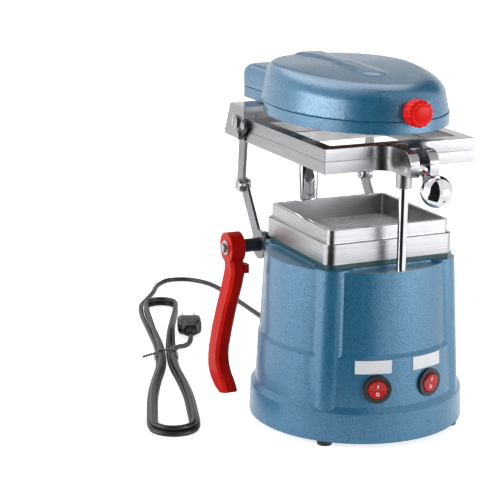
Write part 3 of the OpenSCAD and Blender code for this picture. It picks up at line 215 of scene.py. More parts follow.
def smoothPath(points, step):
    # centripetal spline through the listed points, resampled every few millimetres
    out = []
    last = len(points) - 1
    for i in range(last):
        b, c = points[i], points[i + 1]
        a = points[i - 1] if i else b * 2 - c
        d = points[i + 2] if i + 2 <= last else c * 2 - b
        t1 = max((b - a).length, 1e-6) ** 0.5
        t2 = t1 + max((c - b).length, 1e-6) ** 0.5
        t3 = t2 + max((d - c).length, 1e-6) ** 0.5
        count = max(2, int((c - b).length / step))
        for k in range(count):
            t = t1 + (t2 - t1) * k / count
            a1 = a * ((t1 - t) / t1) + b * (t / t1)
            a2 = b * ((t2 - t) / (t2 - t1)) + c * ((t - t1) / (t2 - t1))
            a3 = c * ((t3 - t) / (t3 - t2)) + d * ((t - t2) / (t3 - t2))
            b1 = a1 * ((t2 - t) / t2) + a2 * (t / t2)
            b2 = a2 * ((t3 - t) / (t3 - t1)) + a3 * ((t - t1) / (t3 - t1))
            out.append(b1 * ((t2 - t) / (t2 - t1)) + b2 * ((t - t1) / (t2 - t1)))
    return out + [points[-1]]


def tubeCurve(name, path, diameter, body):
    data = bpy.data.curves.new(name, "CURVE")
    data.dimensions = "3D"
    # each point carries the radius, so that the object's box is the tube's own
    data.bevel_depth, data.bevel_resolution = 1.0, 3
    data.use_fill_caps = True
    line = data.splines.new("POLY")
    line.points.add(len(path) - 1)
    for p, q in zip(line.points, path):
        p.co, p.radius = (*toWorld(q), 1), diameter / 2 * mm
    line.use_smooth = True
    return newObject(name, data, body)


cordPath = smoothPath(cordPoints(), cordLook["step"])
mainsCord = tubeCurve("mainsCord", cordPath, cordLook["diameter"], "base")
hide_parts("cord_lead", "cord_hank")

# moulded plug on the cord, its neck ribbed so that it can flex
plugLook = {"place": (-49, 262, 9), "neckRibs": 5, "neckStart": -21, "ribPitch": 2.4, "neckRadius": 3.3,
            "ribGrowth": 0.35, "ribRows": ((0, 0, 0.01), (1.5, 0, 0.01), (1.6, 1.1, 0.6), (2.3, 1.1, 0.6)),
            "bodySections": ((-9.5, 13, 10.5, 4), (-8.5, 15.5, 12, 5), (-4, 17, 13, 5), (0, 18.5, 14, 5),
                             (1.5, 22.5, 15, 5), (3, 24, 16, 5), (11, 24, 16.6, 4.6), (17.5, 24, 16.2, 4.2),
                             (19.2, 23, 15.4, 4), (20, 21.4, 14, 3.6))}
plugPlace = Matrix.Translation(plugLook["place"]) @ Matrix.Rotation(math.radians(-hank["turn"]), 4, "Z")


def roundedRing(place, y, width, height, corner, steps=6):
    ring = []
    for q, (sx, sz) in enumerate(((1, 1), (-1, 1), (-1, -1), (1, -1))):
        for k in range(steps + 1):
            a = math.radians(90 * q + 90 * k / steps)
            ring.append(place @ Vector((sx * (width / 2 - corner) + corner * math.cos(a), y,
                                        sz * (height / 2 - corner) + corner * math.sin(a))))
    return ring


def makePlug():
    rings = []
    for k in range(plugLook["neckRibs"]):
        y, r = plugLook["neckStart"] + k * plugLook["ribPitch"], plugLook["neckRadius"] + k * plugLook["ribGrowth"]
        # a rib, then the groove after it
        for ahead, narrower, flatter in plugLook["ribRows"]:
            wide = 2 * r - narrower
            rings.append(roundedRing(plugPlace, y + ahead, wide, wide, r - flatter))
    rings += [roundedRing(plugPlace, *s) for s in plugLook["bodySections"]]
    verts, faces = loft([[toWorld(p) for p in ring] for ring in rings])
    o = newObject("mouldedPlug", meshFrom("mouldedPlug", verts, faces), "base")
    addModifiers(o, 0.4, angle=40)
    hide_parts("plug")
    return o


mouldedPlug = makePlug()

# wire tie round the waist of the hank, with its twisted ends
tieLook = {"wide": 4.0, "thick": 0.8, "half": 10.75, "high": 9.75, "wire": 0.75, "wound": 0.8, "turns": 2.5,
           "endFrom": (1, -11, 6.4), "endGoes": (3, -12, -4.4), "lean": (0.34, 0.94), "points": 25, "sides": 6}


def makeTie():
    high, half, t, w = tieLook["high"], tieLook["half"], tieLook["thick"], tieLook["wide"] / 2
    ring = ((-half, 0), (-half, 5.2), (-half + 2, 8.4), (-half + 4.4, high), (half - 4, high), (half - 1.6, 8),
            (half, 5.2), (half, 0))
    verts = []
    for x, z in ring:
        q = (x + math.copysign(t, x), z) if abs(x) == half else (x * 1.02, z + t)
        for along, place in ((-w, (x, z)), (w, (x, z)), (w, q), (-w, q)):
            verts.append(toWorld(hankPoint(hank["tieAt"] + along, *place)))
    faces = wrap(4, len(ring)) + caps(4, len(ring))
    # two ends wound about each other, lying to the left
    n, count = tieLook["sides"], tieLook["points"]
    for phase in (0, math.pi):
        base = len(verts)
        for k in range(count):
            f = k / (count - 1)
            a = phase + f * tieLook["turns"] * 2 * math.pi
            along, across, height = (start + go * f for start, go in zip(tieLook["endFrom"], tieLook["endGoes"]))
            p = hankPoint(hank["tieAt"] + along + tieLook["wound"] * math.cos(a), across,
                          height + tieLook["wound"] * math.sin(a))
            for i in range(n):
                b = 2 * math.pi * i / n
                out = Vector((math.cos(b) * tieLook["lean"][0], math.cos(b) * tieLook["lean"][1], math.sin(b)))
                verts.append(toWorld(p + tieLook["wire"] * out))
        faces += wrap(n, count, base) + caps(n, count, base)
    o = newObject("wireTie", meshFrom("wireTie", verts, faces), "base")
    addModifiers(o, 0.2, angle=40)
    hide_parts("cord_tie")
    return o


wireTie = makeTie()
print("cord pieces made")

# strain relief: a soft sleeve with grooves, from the housing wall
glandLook = {"seat": 88, "bore": 2.6, "shank": 6.4, "flange": 8.5, "root": 5.4, "tip": 3.5, "length": 27,
             "grooves": 6, "pitch": 3.4, "groove": 0.9, "sides": 32}


def makeGland():
    a = math.radians(cordLook["glandTurn"])
    outward = Vector((math.sin(a), math.cos(a), 0)).to_track_quat("Z", "Y").to_matrix().to_4x4()
    place = Matrix.Translation(glandPoint(glandLook["seat"])) @ outward
    shank, flange, root, tip = (glandLook[k] for k in ("shank", "flange", "root", "tip"))
    end, bore, cut, n = (glandLook[k] for k in ("length", "bore", "groove", "sides"))
    profile = [(bore + 0.1, -7), (shank, -7), (shank, 0), (flange, 0), (flange, 2.2), (flange - 0.8, 3)]
    for k in range(glandLook["grooves"]):
        z = 4 + k * glandLook["pitch"]
        r = root + (tip - root) * (z - 3) / (end - 3)
        profile += [(r, z - 0.8), (r, z + 1.2), (r - cut, z + 1.4), (r - cut, z + 2.4)]
    profile += [(tip + 0.1, 24.6), (tip, 26.4), (tip - 0.5, end), (bore, end), (bore, -6.9)]
    verts, faces = lathe(profile, place, n, capped=False)
    # the bore's last ring joins the first
    last = (len(profile) - 1) * n
    faces += [(last + i, last + (i + 1) % n, (i + 1) % n, i) for i in range(n)]
    mesh = meshFrom("strainRelief", [toWorld(v) for v in verts], faces)
    o = newObject("strainRelief", mesh, "base")
    addModifiers(o, 0.25, angle=35)
    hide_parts("cord_gland")
    return o


strainRelief = makeGland()


# helpers for materials
def colour(text):
    out = []
    for k in (1, 3, 5):
        c = int(text[k:k + 2], 16) / 255
        out.append(c / 12.92 if c <= 0.04045 else ((c + 0.055) / 1.055) ** 2.4)
    return (*out, 1.0)


def addNode(tree, kind, settings=None, links=None):
    node = tree.nodes.new(kind)
    for key, value in (settings or {}).items():
        if isinstance(key, int) or key in node.inputs:
            node.inputs[key].default_value = value
        else:
            setattr(node, key, value)
    for key, source in (links or {}).items():
        tree.links.new(source, node.inputs[key])
    return node


def newMaterial(name):
    m = bpy.data.materials.new(name)
    m.use_nodes = True
    tree = m.node_tree
    tree.nodes.clear()
    shader = addNode(tree, "ShaderNodeBsdfPrincipled")
    addNode(tree, "ShaderNodeOutputMaterial", links={"Surface": shader.outputs[0]})
    where = addNode(tree, "ShaderNodeTexCoord").outputs["Object"]
    return m, tree, shader, where


def setShader(shader, **values):
    for key, value in values.items():
        shader.inputs[key.replace("_", " ")].default_value = value


def ramp(tree, source, stops):
    node = addNode(tree, "ShaderNodeValToRGB", links={0: source})
    while len(node.color_ramp.elements) < len(stops):
        node.color_ramp.elements.new(0.5)
    for e, (at, value) in zip(node.color_ramp.elements, stops):
        e.position = at
        e.color = colour(value) if isinstance(value, str) else (value, value, value, 1)
    return node.outputs[0]


def noise(tree, where, size, detail):
    # mottling whose patches are about size millimetres across
    return addNode(tree, "ShaderNodeTexNoise", {"Scale": 1 / (size * mm), "Detail": detail},
                   {"Vector": where}).outputs["Fac"]


def bumped(tree, shader, height, strength, depth):
    # depth in mm
    bump = addNode(tree, "ShaderNodeBump", {"Strength": strength, "Distance": depth * mm}, {"Height": height})
    tree.links.new(bump.outputs[0], shader.inputs["Normal"])


def shade(tree, shader, socket, source, *stops):
    tree.links.new(ramp(tree, source, stops), shader.inputs[socket])


# hammertone enamel, sprayed on cast aluminium and stoved: a blue that changes a little from dimple to dimple
# the paler colour at the dimples' middles is partly the silver flake's own tone and partly painted sparkle, standing
# in for the glints where light grazes it
hammer = {"mid": "#1e6d93", "light": "#2d7ca2", "dark": "#155b80", "dimpleMm": 1.5, "depthMm": 0.2,
          "waveMm": 5.0, "waveDepthMm": 0.25}


def hammertoneEnamel():
    m, tree, shader, where = newMaterial("hammertoneEnamel")
    cells = addNode(tree, "ShaderNodeTexVoronoi", {"feature": "SMOOTH_F1", "Scale": 1 / (hammer["dimpleMm"] * mm),
                                                   "Smoothness": 0.6, "Randomness": 1.0},
                    {"Vector": where}).outputs["Distance"]
    drift = noise(tree, where, hammer["waveMm"], 3.0)
    tone = addNode(tree, "ShaderNodeMath", {"operation": "MULTIPLY_ADD", 1: 0.75, 2: 0.12}, {0: cells})
    both = addNode(tree, "ShaderNodeMath", {"operation": "MULTIPLY_ADD", 1: 0.2}, {0: drift, 2: tone.outputs[0]})
    # the pale stop at the dimples' middles: flake tone and painted sparkle
    shade(tree, shader, "Base Color", both.outputs[0], (0.3, hammer["light"]), (0.52, hammer["mid"]),
          (0.8, hammer["dark"]))
    shade(tree, shader, "Roughness", cells, (0.1, 0.26), (0.7, 0.42))
    dimple = addNode(tree, "ShaderNodeBump", {"Strength": 0.75, "Distance": hammer["depthMm"] * mm, "invert": True},
                     {"Height": cells})
    wave = addNode(tree, "ShaderNodeBump", {"Strength": 0.35, "Distance": hammer["waveDepthMm"] * mm},
                   {"Height": drift, "Normal": dimple.outputs[0]})
    tree.links.new(wave.outputs[0], shader.inputs["Normal"])
    setShader(shader, Metallic=0.25, IOR=1.5, Specular_IOR_Level=0.75, Coat_Weight=0.7, Coat_Roughness=0.25,
              Coat_IOR=1.5)
    return m


# aluminium, milled then drawn over a fine belt along its sides: soft streaks that run level
# flat tops are polished, so they mirror what stands over them
belt = {"base": "#b9babc", "dull": "#9c9ea1", "streakMm": 0.35, "runMm": 40.0, "blotchMm": 25.0, "depthMm": 0.03}


def brushedAluminium(name, base=belt["base"], dull=belt["dull"], side=0.3, top=0.12, metal=1.0):
    m, tree, shader, where = newMaterial(name)
    # real scratches are finer than a pixel, so these are drawn three times as coarse
    along, across = 1 / (belt["runMm"] * mm), 1 / (belt["streakMm"] * mm)
    stretch = addNode(tree, "ShaderNodeMapping", {"Scale": (along, along, across)}, {"Vector": where})
    lines = addNode(tree, "ShaderNodeTexNoise", {"Scale": 1.0, "Detail": 4.0, "Roughness": 0.6},
                    {"Vector": stretch.outputs[0]})
    blotch = noise(tree, where, belt["blotchMm"], 2.0)
    # 0 on the sides, 1 on level faces
    shape = addNode(tree, "ShaderNodeNewGeometry")
    up = addNode(tree, "ShaderNodeSeparateXYZ", links={0: shape.outputs["Normal"]})
    level = addNode(tree, "ShaderNodeMath", {"operation": "ABSOLUTE"}, {0: up.outputs[2]})
    face = ramp(tree, level.outputs[0], ((0.7, 0.0), (0.95, 1.0)))
    shade(tree, shader, "Base Color", lines.outputs["Fac"], (0.3, dull), (0.7, base))
    rough = addNode(tree, "ShaderNodeMapRange", {"From Min": 0.3, "From Max": 0.7, "To Min": side - 0.06,
                                                 "To Max": side + 0.1}, {"Value": blotch})
    pick = addNode(tree, "ShaderNodeMix", {"data_type": "FLOAT", 3: top}, {0: face, 2: rough.outputs[0]})
    tree.links.new(pick.outputs[0], shader.inputs["Roughness"])
    fade = addNode(tree, "ShaderNodeMath", {"operation": "MULTIPLY_ADD", 1: -0.85, 2: 1.0}, {0: face})
    bump = addNode(tree, "ShaderNodeBump", {"Distance": belt["depthMm"] * mm},
                   {"Height": lines.outputs["Fac"], "Strength": fade.outputs[0]})
    tree.links.new(bump.outputs[0], shader.inputs["Normal"])
    setShader(shader, Metallic=metal)
    return m


# steel, polished and chrome plated: a mirror with hardly any tint, a faint haze of handling
def polishedChrome():
    m, tree, shader, where = newMaterial("polishedChrome")
    haze = noise(tree, where, 9, 3.0)
    shade(tree, shader, "Base Color", haze, (0.35, "#e3e4e6"), (0.7, "#cfd1d4"))
    shade(tree, shader, "Roughness", haze, (0.4, 0.05), (0.75, 0.13))
    setShader(shader, Metallic=1.0)
    return m


# steel sheet, laser cut, tumbled and zinc plated: even grey with a soft satin shine
def platedSteel(name="platedSteel", light="#929496", dark="#7b7d7f", low=0.3, high=0.46, metal=0.9):
    m, tree, shader, where = newMaterial(name)
    grain = noise(tree, where, 1.2, 3.0)
    wide = noise(tree, where, 18, 2.0)
    shade(tree, shader, "Base Color", wide, (0.3, dark), (0.7, light))
    shade(tree, shader, "Roughness", grain, (0.3, low), (0.7, high))
    bumped(tree, shader, grain, 0.3, 0.02)
    setShader(shader, Metallic=metal)
    return m


# enamel, plastic and rubber share one recipe: fine grain in colour, shine and height
def coatedSurface(name, deep, pale, low, high, grainMm, depthMm, coat=0.0, specular=0.5, ior=1.5):
    m, tree, shader, where = newMaterial(name)
    grain = noise(tree, where, grainMm, 4.0)
    wide = noise(tree, where, grainMm * 11, 2.0)
    shade(tree, shader, "Base Color", wide, (0.3, deep), (0.7, pale))
    shade(tree, shader, "Roughness", grain, (0.3, low), (0.7, high))
    bumped(tree, shader, grain, 0.5, depthMm)
    setShader(shader, Coat_Weight=coat, Coat_Roughness=0.12, Specular_IOR_Level=specular, IOR=ior)
    return m


enamelBlue = hammertoneEnamel()
aluminium = brushedAluminium("brushedAluminium")
chrome = polishedChrome()
steelPlate = platedSteel()
# turned screws and pins keep a brighter plating than the sheet
steelScrew = platedSteel("platedScrew", "#c4c5c6", "#9fa1a3", 0.22, 0.36, 1.0)
# steel, oil blackened: nearly black with a low grey sheen
darkSteel = platedSteel("blackenedSteel", "#43474e", "#2c2f34", 0.36, 0.5, 0.75)
# bearing bronze, pressed from powder: dull warm metal with pores
sinteredBronze = platedSteel("sinteredBronze", "#a9854f", "#7d5f36", 0.4, 0.55, 1.0)
# iron sheets and lacquered copper wire of the motor: a dull brown
motorIron = platedSteel("motorIron", "#6b4a3a", "#3c302b", 0.45, 0.6, 0.6)
# brass blades of the plug, nickel plated: warm grey with a clean shine
nickelBrass = platedSteel("nickelBrass", "#cfcdc8", "#b2b0aa", 0.18, 0.3, 1.0)
# red stoved enamel on the cast handle: wet gloss with a slight orange peel
handleEnamel = coatedSurface("redEnamel", "#b40f05", "#c81708", 0.24, 0.36, 1.6, 0.05, 0.0, 0.09)
# red ABS, moulded: saturated and glossy
knobPlastic = coatedSurface("redMouldedPlastic", "#d60c09", "#e2120d", 0.24, 0.34, 1.2, 0.02, 0.0, 0.12)
# rocker of red polycarbonate, moulded and polished
rockerPlastic = coatedSurface("redPolycarbonate", "#a90c0a", "#bd110e", 0.14, 0.22, 1.5, 0.01, 0.15, 0.3, 1.58)
# black nylon of the switch bezels, moulded with a spark texture: deep black, half matt
blackNylon = coatedSurface("blackNylon", "#121315", "#1b1c1f", 0.32, 0.46, 0.8, 0.03)
# PVC of the cord, extruded: black with a long soft highlight
cordVinyl = coatedSurface("extrudedVinyl", "#0a0a0b", "#121214", 0.34, 0.46, 1.4, 0.03)
# moulded feet and seals: matt black rubber
blackRubber = coatedSurface("mouldedRubber", "#0e0e10", "#1a1a1c", 0.5, 0.66, 0.9, 0.04)
# nitrile gasket sheet, die cut: dark green, satin
greenRubber = coatedSurface("gasketRubber", "#0a3d3e", "#0e4b4a", 0.36, 0.5, 1.2, 0.03)
# printed vinyl film, glued on: clean white, slightly glossy
labelFilm = coatedSurface("labelFilm", "#d3d5da", "#dcdee2", 0.3, 0.4, 2.0, 0.01)
# heat-proof ceramic coat of the heater plate: matt charcoal
ceramicCoat = coatedSurface("ceramicCoat", "#3f3d3a", "#55524e", 0.7, 0.85, 0.8, 0.05)
# steel tube of the element, oxidised by heat: brown, scaly
oxidisedTube = coatedSurface("oxidisedTube", "#5d3320", "#8a4c2e", 0.6, 0.8, 0.7, 0.06)
# woven glass sleeve over the heater's cable: off-white, matt
glassSleeve = coatedSurface("glassSleeve", "#cfcec8", "#e2e1db", 0.7, 0.85, 0.5, 0.12)
# white ink, pad printed on the rockers: flat and clean
markInk = coatedSurface("whiteInk", "#f0f0ee", "#fafaf8", 0.4, 0.5, 1.0, 0.005)

finishes = {
    "blue_paint": enamelBlue, "dark_steel": darkSteel, "steel_plate": steelPlate, "steel_screw": steelScrew,
    "chrome": chrome, "aluminium": aluminium, "iron": motorIron, "bronze": sinteredBronze,
    "rubber_black": blackRubber, "rubber_green": greenRubber, "plastic_black": blackNylon,
    "red_handle": handleEnamel, "red_plastic": knobPlastic, "red_rocker": rockerPlastic,
    "white_plate": labelFilm, "ceramic": ceramicCoat, "element": oxidisedTube, "cable_sleeve": glassSleeve,
    "brass_plated": nickelBrass,
}


def paint(o, material):
    if not len(o.material_slots):
        o.data.materials.append(material)
    for s in o.material_slots:
        s.material = material


for part in frame["record"]["subparts"]:
    paint(nodes[part["node"]], finishes[part["material_slot"]])
# the clamp frames and the carriage are belted aluminium too, in a greyer copy of the tray's: painted shade that
# takes back the lamps' light on their fronts
frameAluminiumPaintedShade = brushedAluminium("frameAluminiumPaintedShade", "#a3a4a6", "#8a8b8e")
for name in ("lower_frame", "upper_frame", "carriage"):
    paint(nodes[name], frameAluminiumPaintedShade)
for o, material in ((mainsCord, cordVinyl), (mouldedPlug, cordVinyl), (wireTie, blackNylon),
                    (strainRelief, blackRubber)):
    paint(o, material)
print("materials made,", len(finishes), "finishes")

# edges of the CAD parts are broken as the real ones are, by casting, filing or tumbling
# the wide ones keep their full width where edges lie close together
wideEdges = ("lower_frame", "upper_frame", "tray")
# widths in mm
edgeBreaks = {
    "body_casting": 1.1, "tray": 0.5, "lower_frame": 0.45, "upper_frame": 0.45, "carriage": 0.45, "head_rim": 0.7,
    "crank_arm_left": 0.4, "crank_arm_right": 0.4, "link_left": 0.4, "link_right": 0.4, "rear_post": 0.4,
    "guide_rod": 0.3, "crank_shaft": 0.4, "swing_bolt": 0.5, "knuckle_screws": 0.4, "link_screws": 0.4,
    "handle_screw": 0.3, "handle_washer": 0.3, "hinge_plates": 0.3, "hinge_screws": 0.3, "frame_screws": 0.3,
    "feet": 0.8, "switch_bodies": 0.7, "rocker_left": 0.5, "rocker_right": 0.5, "deck_gasket": 0.4,
    "base_plate": 0.4, "plug_pins": 0.35, "post_cap": 0.3, "cover_screws": 0.3, "handle": 1.7,
}
for name, width in edgeBreaks.items():
    addModifiers(nodes[name], width, 3 if width > 1 else 2, free=name in wideEdges)
print("edges broken")

# head cover: a deep pressed dome with a raised tongue on its crown, blended into a square tail
cover = {"seam": 274.4, "height": 32.5, "a": 72.5, "b": 99.0, "middle": 12.0, "tailHalf": 48.5, "tailRear": 143.5,
         "tailHeight": 20.5, "tailFront": 32.0, "tailCorner": 11.0, "wall": 2.4, "voxel": 1.4, "foot": 0.4,
         "wallLean": 3.1, "wallShare": 0.45, "shoulderShare": 0.53, "rearReach": 8.0, "frontReach": 22.5,
         "square": 0.88, "wallTo": 0.25, "shoulderTo": 0.75, "crownReach": 0.97, "fall": 0.17, "fallFrom": 35,
         "fallOver": 122, "fallPower": 1.3, "reachTurns": (-50, 75), "points": 144, "rings": 48,
         "tailEdge": ((0, 8), (0.5, 5), (2, 2.5), (4.2, 0.9), (7, 0.2), (12, 0)), "cornerSteps": 8,
         "smoothing": (0.5, 7), "cutAt": 1.3, "sitAt": 0.15}
# the tongue's half width: round at the front, waisted, wider again at the rear
tongue = {"half": 8, "frontMore": 2, "frontWidens": (50, 0), "rearMore": 7, "rearWidens": (64, 106), "tip": 10,
          "tipFrom": -16, "tipLength": 12, "lift": 1.4, "rearLift": 0.4, "rises": (20, 92), "edge": (-1.0, 3.0),
          "crownOnly": (0.8, 0.97)}


def coverFall(y):
    # level at the rear, falling away to the front
    ahead = (cover["fallFrom"] - y) / cover["fallOver"]
    return cover["fall"] * ahead ** cover["fallPower"] if ahead > 0 else 0.0


def blendStep(low, high, v):
    f = min(1.0, max(0.0, (v - low) / (high - low)))
    return f * f * (3 - 2 * f)


def tongueLift(x, y):
    if y > tongue["tipFrom"]:
        half = (tongue["half"] + tongue["rearMore"] * blendStep(*tongue["rearWidens"], y)
                + tongue["frontMore"] * blendStep(*tongue["frontWidens"], y))
    else:
        ahead = (tongue["tipFrom"] - y) / tongue["tipLength"]
        half = tongue["tip"] * math.sqrt(max(0.0, 1 - ahead ** 2))
    amount = tongue["lift"] + tongue["rearLift"] * blendStep(*tongue["rises"], y)
    return amount * blendStep(*tongue["edge"], half - abs(x)) if half > 0 else 0.0


def domeStep(u, reach):
    # inset and share of the height: the wall, the round shoulder, then the crown
    wallTo, shoulderTo = cover["wallTo"], cover["shoulderTo"]
    wall, low, bend = cover["foot"] + cover["wallLean"], cover["wallShare"], cover["shoulderShare"]
    if u < wallTo:
        return cover["foot"] + cover["wallLean"] * u / wallTo, low * u / wallTo
    if u < shoulderTo:
        a = math.pi / 2 * (u - wallTo) / (shoulderTo - wallTo)
        return wall + reach * (1 - math.cos(a)), low + bend * math.sin(a)
    v = (u - shoulderTo) / (1 - shoulderTo)
    crown = 1 - low - bend
    return wall + reach + (cover["crownReach"] * cover["a"] - wall - reach) * v, low + bend + crown * (2 * v - v * v)


def unitOutline(a):
    # an ellipse at the front, a little squarer at the rear
    power = cover["square"] if math.sin(a) > 0 else 1.0
    return tuple(math.copysign(abs(v) ** power, v) for v in (math.cos(a), math.sin(a)))


def domeRings():
    rings, n, m = [], cover["points"], cover["rings"]
    for k in range(m + 1):
        ring = []
        for i in range(n):
            ux, uy = unitOutline(2 * math.pi * i / n)
            edge = cover["middle"] + cover["b"] * uy
            rearward = blendStep(*cover["reachTurns"], edge)
            reach = cover["frontReach"] + (cover["rearReach"] - cover["frontReach"]) * rearward
            inset, share = domeStep(k / m, reach)
            x, y = (cover["a"] - inset) * ux, cover["middle"] + (cover["b"] - inset) * uy
            z = cover["seam"] + cover["height"] * share * (1 - coverFall(y))
            ring.append(Vector((x, y, z + blendStep(*tongue["crownOnly"], share) * tongueLift(x, y))))
        rings.append(ring)
    return rings


def makeCover():
    verts, faces = loft([[toWorld(p) for p in ring] for ring in domeRings()])
    base = len(verts)
    # tail: a block with round corners and a soft top edge
    rings = []
    front, r, steps = cover["tailFront"], cover["tailCorner"], cover["cornerSteps"]
    for inset, z in [(0, 0)] + [(inset, cover["tailHeight"] - below) for inset, below in cover["tailEdge"]]:
        w, back = cover["tailHalf"] - inset, cover["tailRear"] - inset
        ring = []
        for cx, cy, start in ((w - r, back - r, 0), (-w + r, back - r, 90), (-w + r, front + r, 180),
                              (w - r, front + r, 270)):
            for k in range(steps + 1):
                a = math.radians(start + 90 * k / steps)
                ring.append(toWorld((cx + r * math.cos(a), cy + r * math.sin(a), cover["seam"] + z)))
        rings.append(ring)
    more, moreFaces = loft(rings)
    verts += more
    faces += [tuple(base + i for i in f) for f in moreFaces]
    o = newObject("pressedCover", meshFrom("pressedCover", verts, faces), "head")
    remesh = o.modifiers.new("joinTail", "REMESH")
    remesh.mode, remesh.voxel_size, remesh.use_smooth_shade = "VOXEL", cover["voxel"] * mm, True
    smooth = o.modifiers.new("softJoin", "SMOOTH")
    smooth.factor, smooth.iterations = cover["smoothing"]
    applyAll(o)
    openUnderside(o)
    thick = o.modifiers.new("sheet", "SOLIDIFY")
    thick.thickness, thick.offset, thick.use_rim = cover["wall"] * mm, -1.0, True
    applyAll(o)
    for p in o.data.polygons:
        p.use_smooth = True
    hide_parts("head_cover")
    return o


def applyAll(o):
    graph = bpy.context.evaluated_depsgraph_get()
    mesh = bpy.data.meshes.new_from_object(o.evaluated_get(graph))
    o.modifiers.clear()
    o.data = mesh


def openUnderside(o):
    # takes the flat underside away and sets the cut edge level on the seam
    bm = bmesh.new()
    bm.from_mesh(o.data)
    low = (cover["seam"] + cover["cutAt"]) * mm
    cut = bmesh.ops.bisect_plane(bm, geom=bm.verts[:] + bm.edges[:] + bm.faces[:], plane_co=(0, 0, low),
                                 plane_no=(0, 0, 1), clear_inner=True)
    rim = [e for e in cut["geom_cut"] if isinstance(e, bmesh.types.BMEdge)]
    grown = bmesh.ops.extrude_edge_only(bm, edges=rim)
    for v in grown["geom"]:
        if isinstance(v, bmesh.types.BMVert):
            v.co.z = (cover["seam"] + cover["sitAt"]) * mm
    bmesh.ops.recalc_face_normals(bm, faces=bm.faces)
    bm.to_mesh(o.data)
    bm.free()


pressedCover = makeCover()
paint(pressedCover, enamelBlue)
print("cover made,", len(pressedCover.data.polygons), "faces")

# knob on the front of the head: moulded, with finger flutes and a shallow domed face
knob = {"y": cover["middle"] - cover["b"] + 0.6, "z": 282.9, "radius": 11.4, "deep": 0.8, "flutes": 14,
        "sharp": 2.2, "fromFace": (4.5, 1.2), "fromNeck": (2.2, 3.4), "length": 14.2, "sides": 144}


def makeKnob():
    place = Matrix.Translation((0, knob["y"], knob["z"])) @ Matrix.Rotation(math.pi / 2, 4, "X")
    r, h = knob["radius"], knob["length"]
    # neck, gripped rim, a fine groove round the face, the face
    profile = [(5.9, 0), (5.9, 2.2), (r - 1.6, 2.3), (r - 0.5, 2.7), (r, 3.6), (r, 6), (r, 9), (r - 0.1, h - 2.6),
               (r - 0.5, h - 1.4), (r - 1.3, h - 0.7), (r - 2.6, h - 0.15), (r - 3.2, h - 0.12), (r - 3.6, h - 0.3),
               (r - 4.0, h - 0.1), (r - 6.0, h + 0.35), (r - 8.4, h + 0.6), (1.2, h + 0.7)]

    def flute(a, q, z):
        # flutes run out towards the face's middle and at the neck
        inner, outer = knob["fromFace"]
        edge = blendStep(r - inner, r - outer, q) * blendStep(*knob["fromNeck"], z)
        return -knob["deep"] * edge * (0.5 + 0.5 * math.cos(knob["flutes"] * a)) ** knob["sharp"]

    verts, faces = lathe(profile, place, knob["sides"], flute)
    o = newObject("flutedKnob", meshFrom("flutedKnob", [toWorld(v) for v in verts], faces), "head")
    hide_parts("head_knob")
    return o


flutedKnob = makeKnob()
paint(flutedKnob, knobPlastic)

# marks printed on the rockers: a bar over a ring
switches = {"turn": 16.3, "reach": 86.6, "height": 51.2, "proud": 1.4, "tilt": 7.0, "barUp": 3.7, "barHalf": 1.5,
            "barWide": 0.42, "ringDown": 3.3, "ringInner": 1.0, "ringOuter": 1.55, "ringSteps": 28,
            "inkFrom": 0.02, "inkTo": 0.11, "faceLow": 2.4, "faceRise": 1.2, "faceHalf": 8.2}


def switchPlace(side):
    # local X across the panel, local Y up it, local Z out of it
    turn = Matrix.Rotation(math.radians(side * switches["turn"]), 4, "Z")
    wall = Matrix.Translation((0, -switches["reach"], switches["height"]))
    upright = Matrix.Rotation(math.pi / 2, 4, "X")
    tilt = Matrix.Rotation(math.radians(switches["tilt"]), 4, "X")
    return turn @ wall @ upright @ Matrix.Translation((0, 0, switches["proud"])) @ tilt


def rockerHeight(y):
    # the rocker's face, hollow towards its middle
    return switches["faceLow"] + switches["faceRise"] * abs(y) / switches["faceHalf"]


def makeMarks(side, name, body):
    place = switchPlace(side)
    verts, faces = [], []

    def strip(points, closed):
        base = len(verts)
        n = len(points)
        for inner, outer in points:
            for x, y in (inner, outer):
                for lift in (switches["inkFrom"], switches["inkTo"]):
                    verts.append(toWorld(place @ Vector((x, y, rockerHeight(y) + lift))))
        for k in range(n if closed else n - 1):
            a, b = base + 4 * k, base + 4 * ((k + 1) % n)
            faces.extend([(a + 1, b + 1, b + 3, a + 3), (a, a + 2, b + 2, b), (a, b, b + 1, a + 1),
                          (a + 2, a + 3, b + 3, b + 2)])
        if not closed:
            e = base + 4 * (n - 1)
            faces.extend([(base, base + 1, base + 3, base + 2), (e, e + 2, e + 3, e + 1)])

    wide, half = switches["barWide"], switches["barHalf"]
    heights = [switches["barUp"] + half * (k / 2 - 1) for k in range(5)]
    strip([((-wide, y), (wide, y)) for y in heights], False)
    angles = [2 * math.pi * k / switches["ringSteps"] for k in range(switches["ringSteps"])]
    strip([[(r * math.cos(a), r * math.sin(a) - switches["ringDown"])
            for r in (switches["ringInner"], switches["ringOuter"])] for a in angles], True)
    o = newObject(name, meshFrom(name, verts, faces, False), body)
    paint(o, markInk)


makeMarks(-1, "rockerMarksLeft", "rocker_left")
makeMarks(1, "rockerMarksRight", "rocker_right")

# perforated plate of the tray, drilled on a five millimetre grid
plate = {"y": 1.5, "pitch": 5.0, "hole": 1.25, "count": 19}


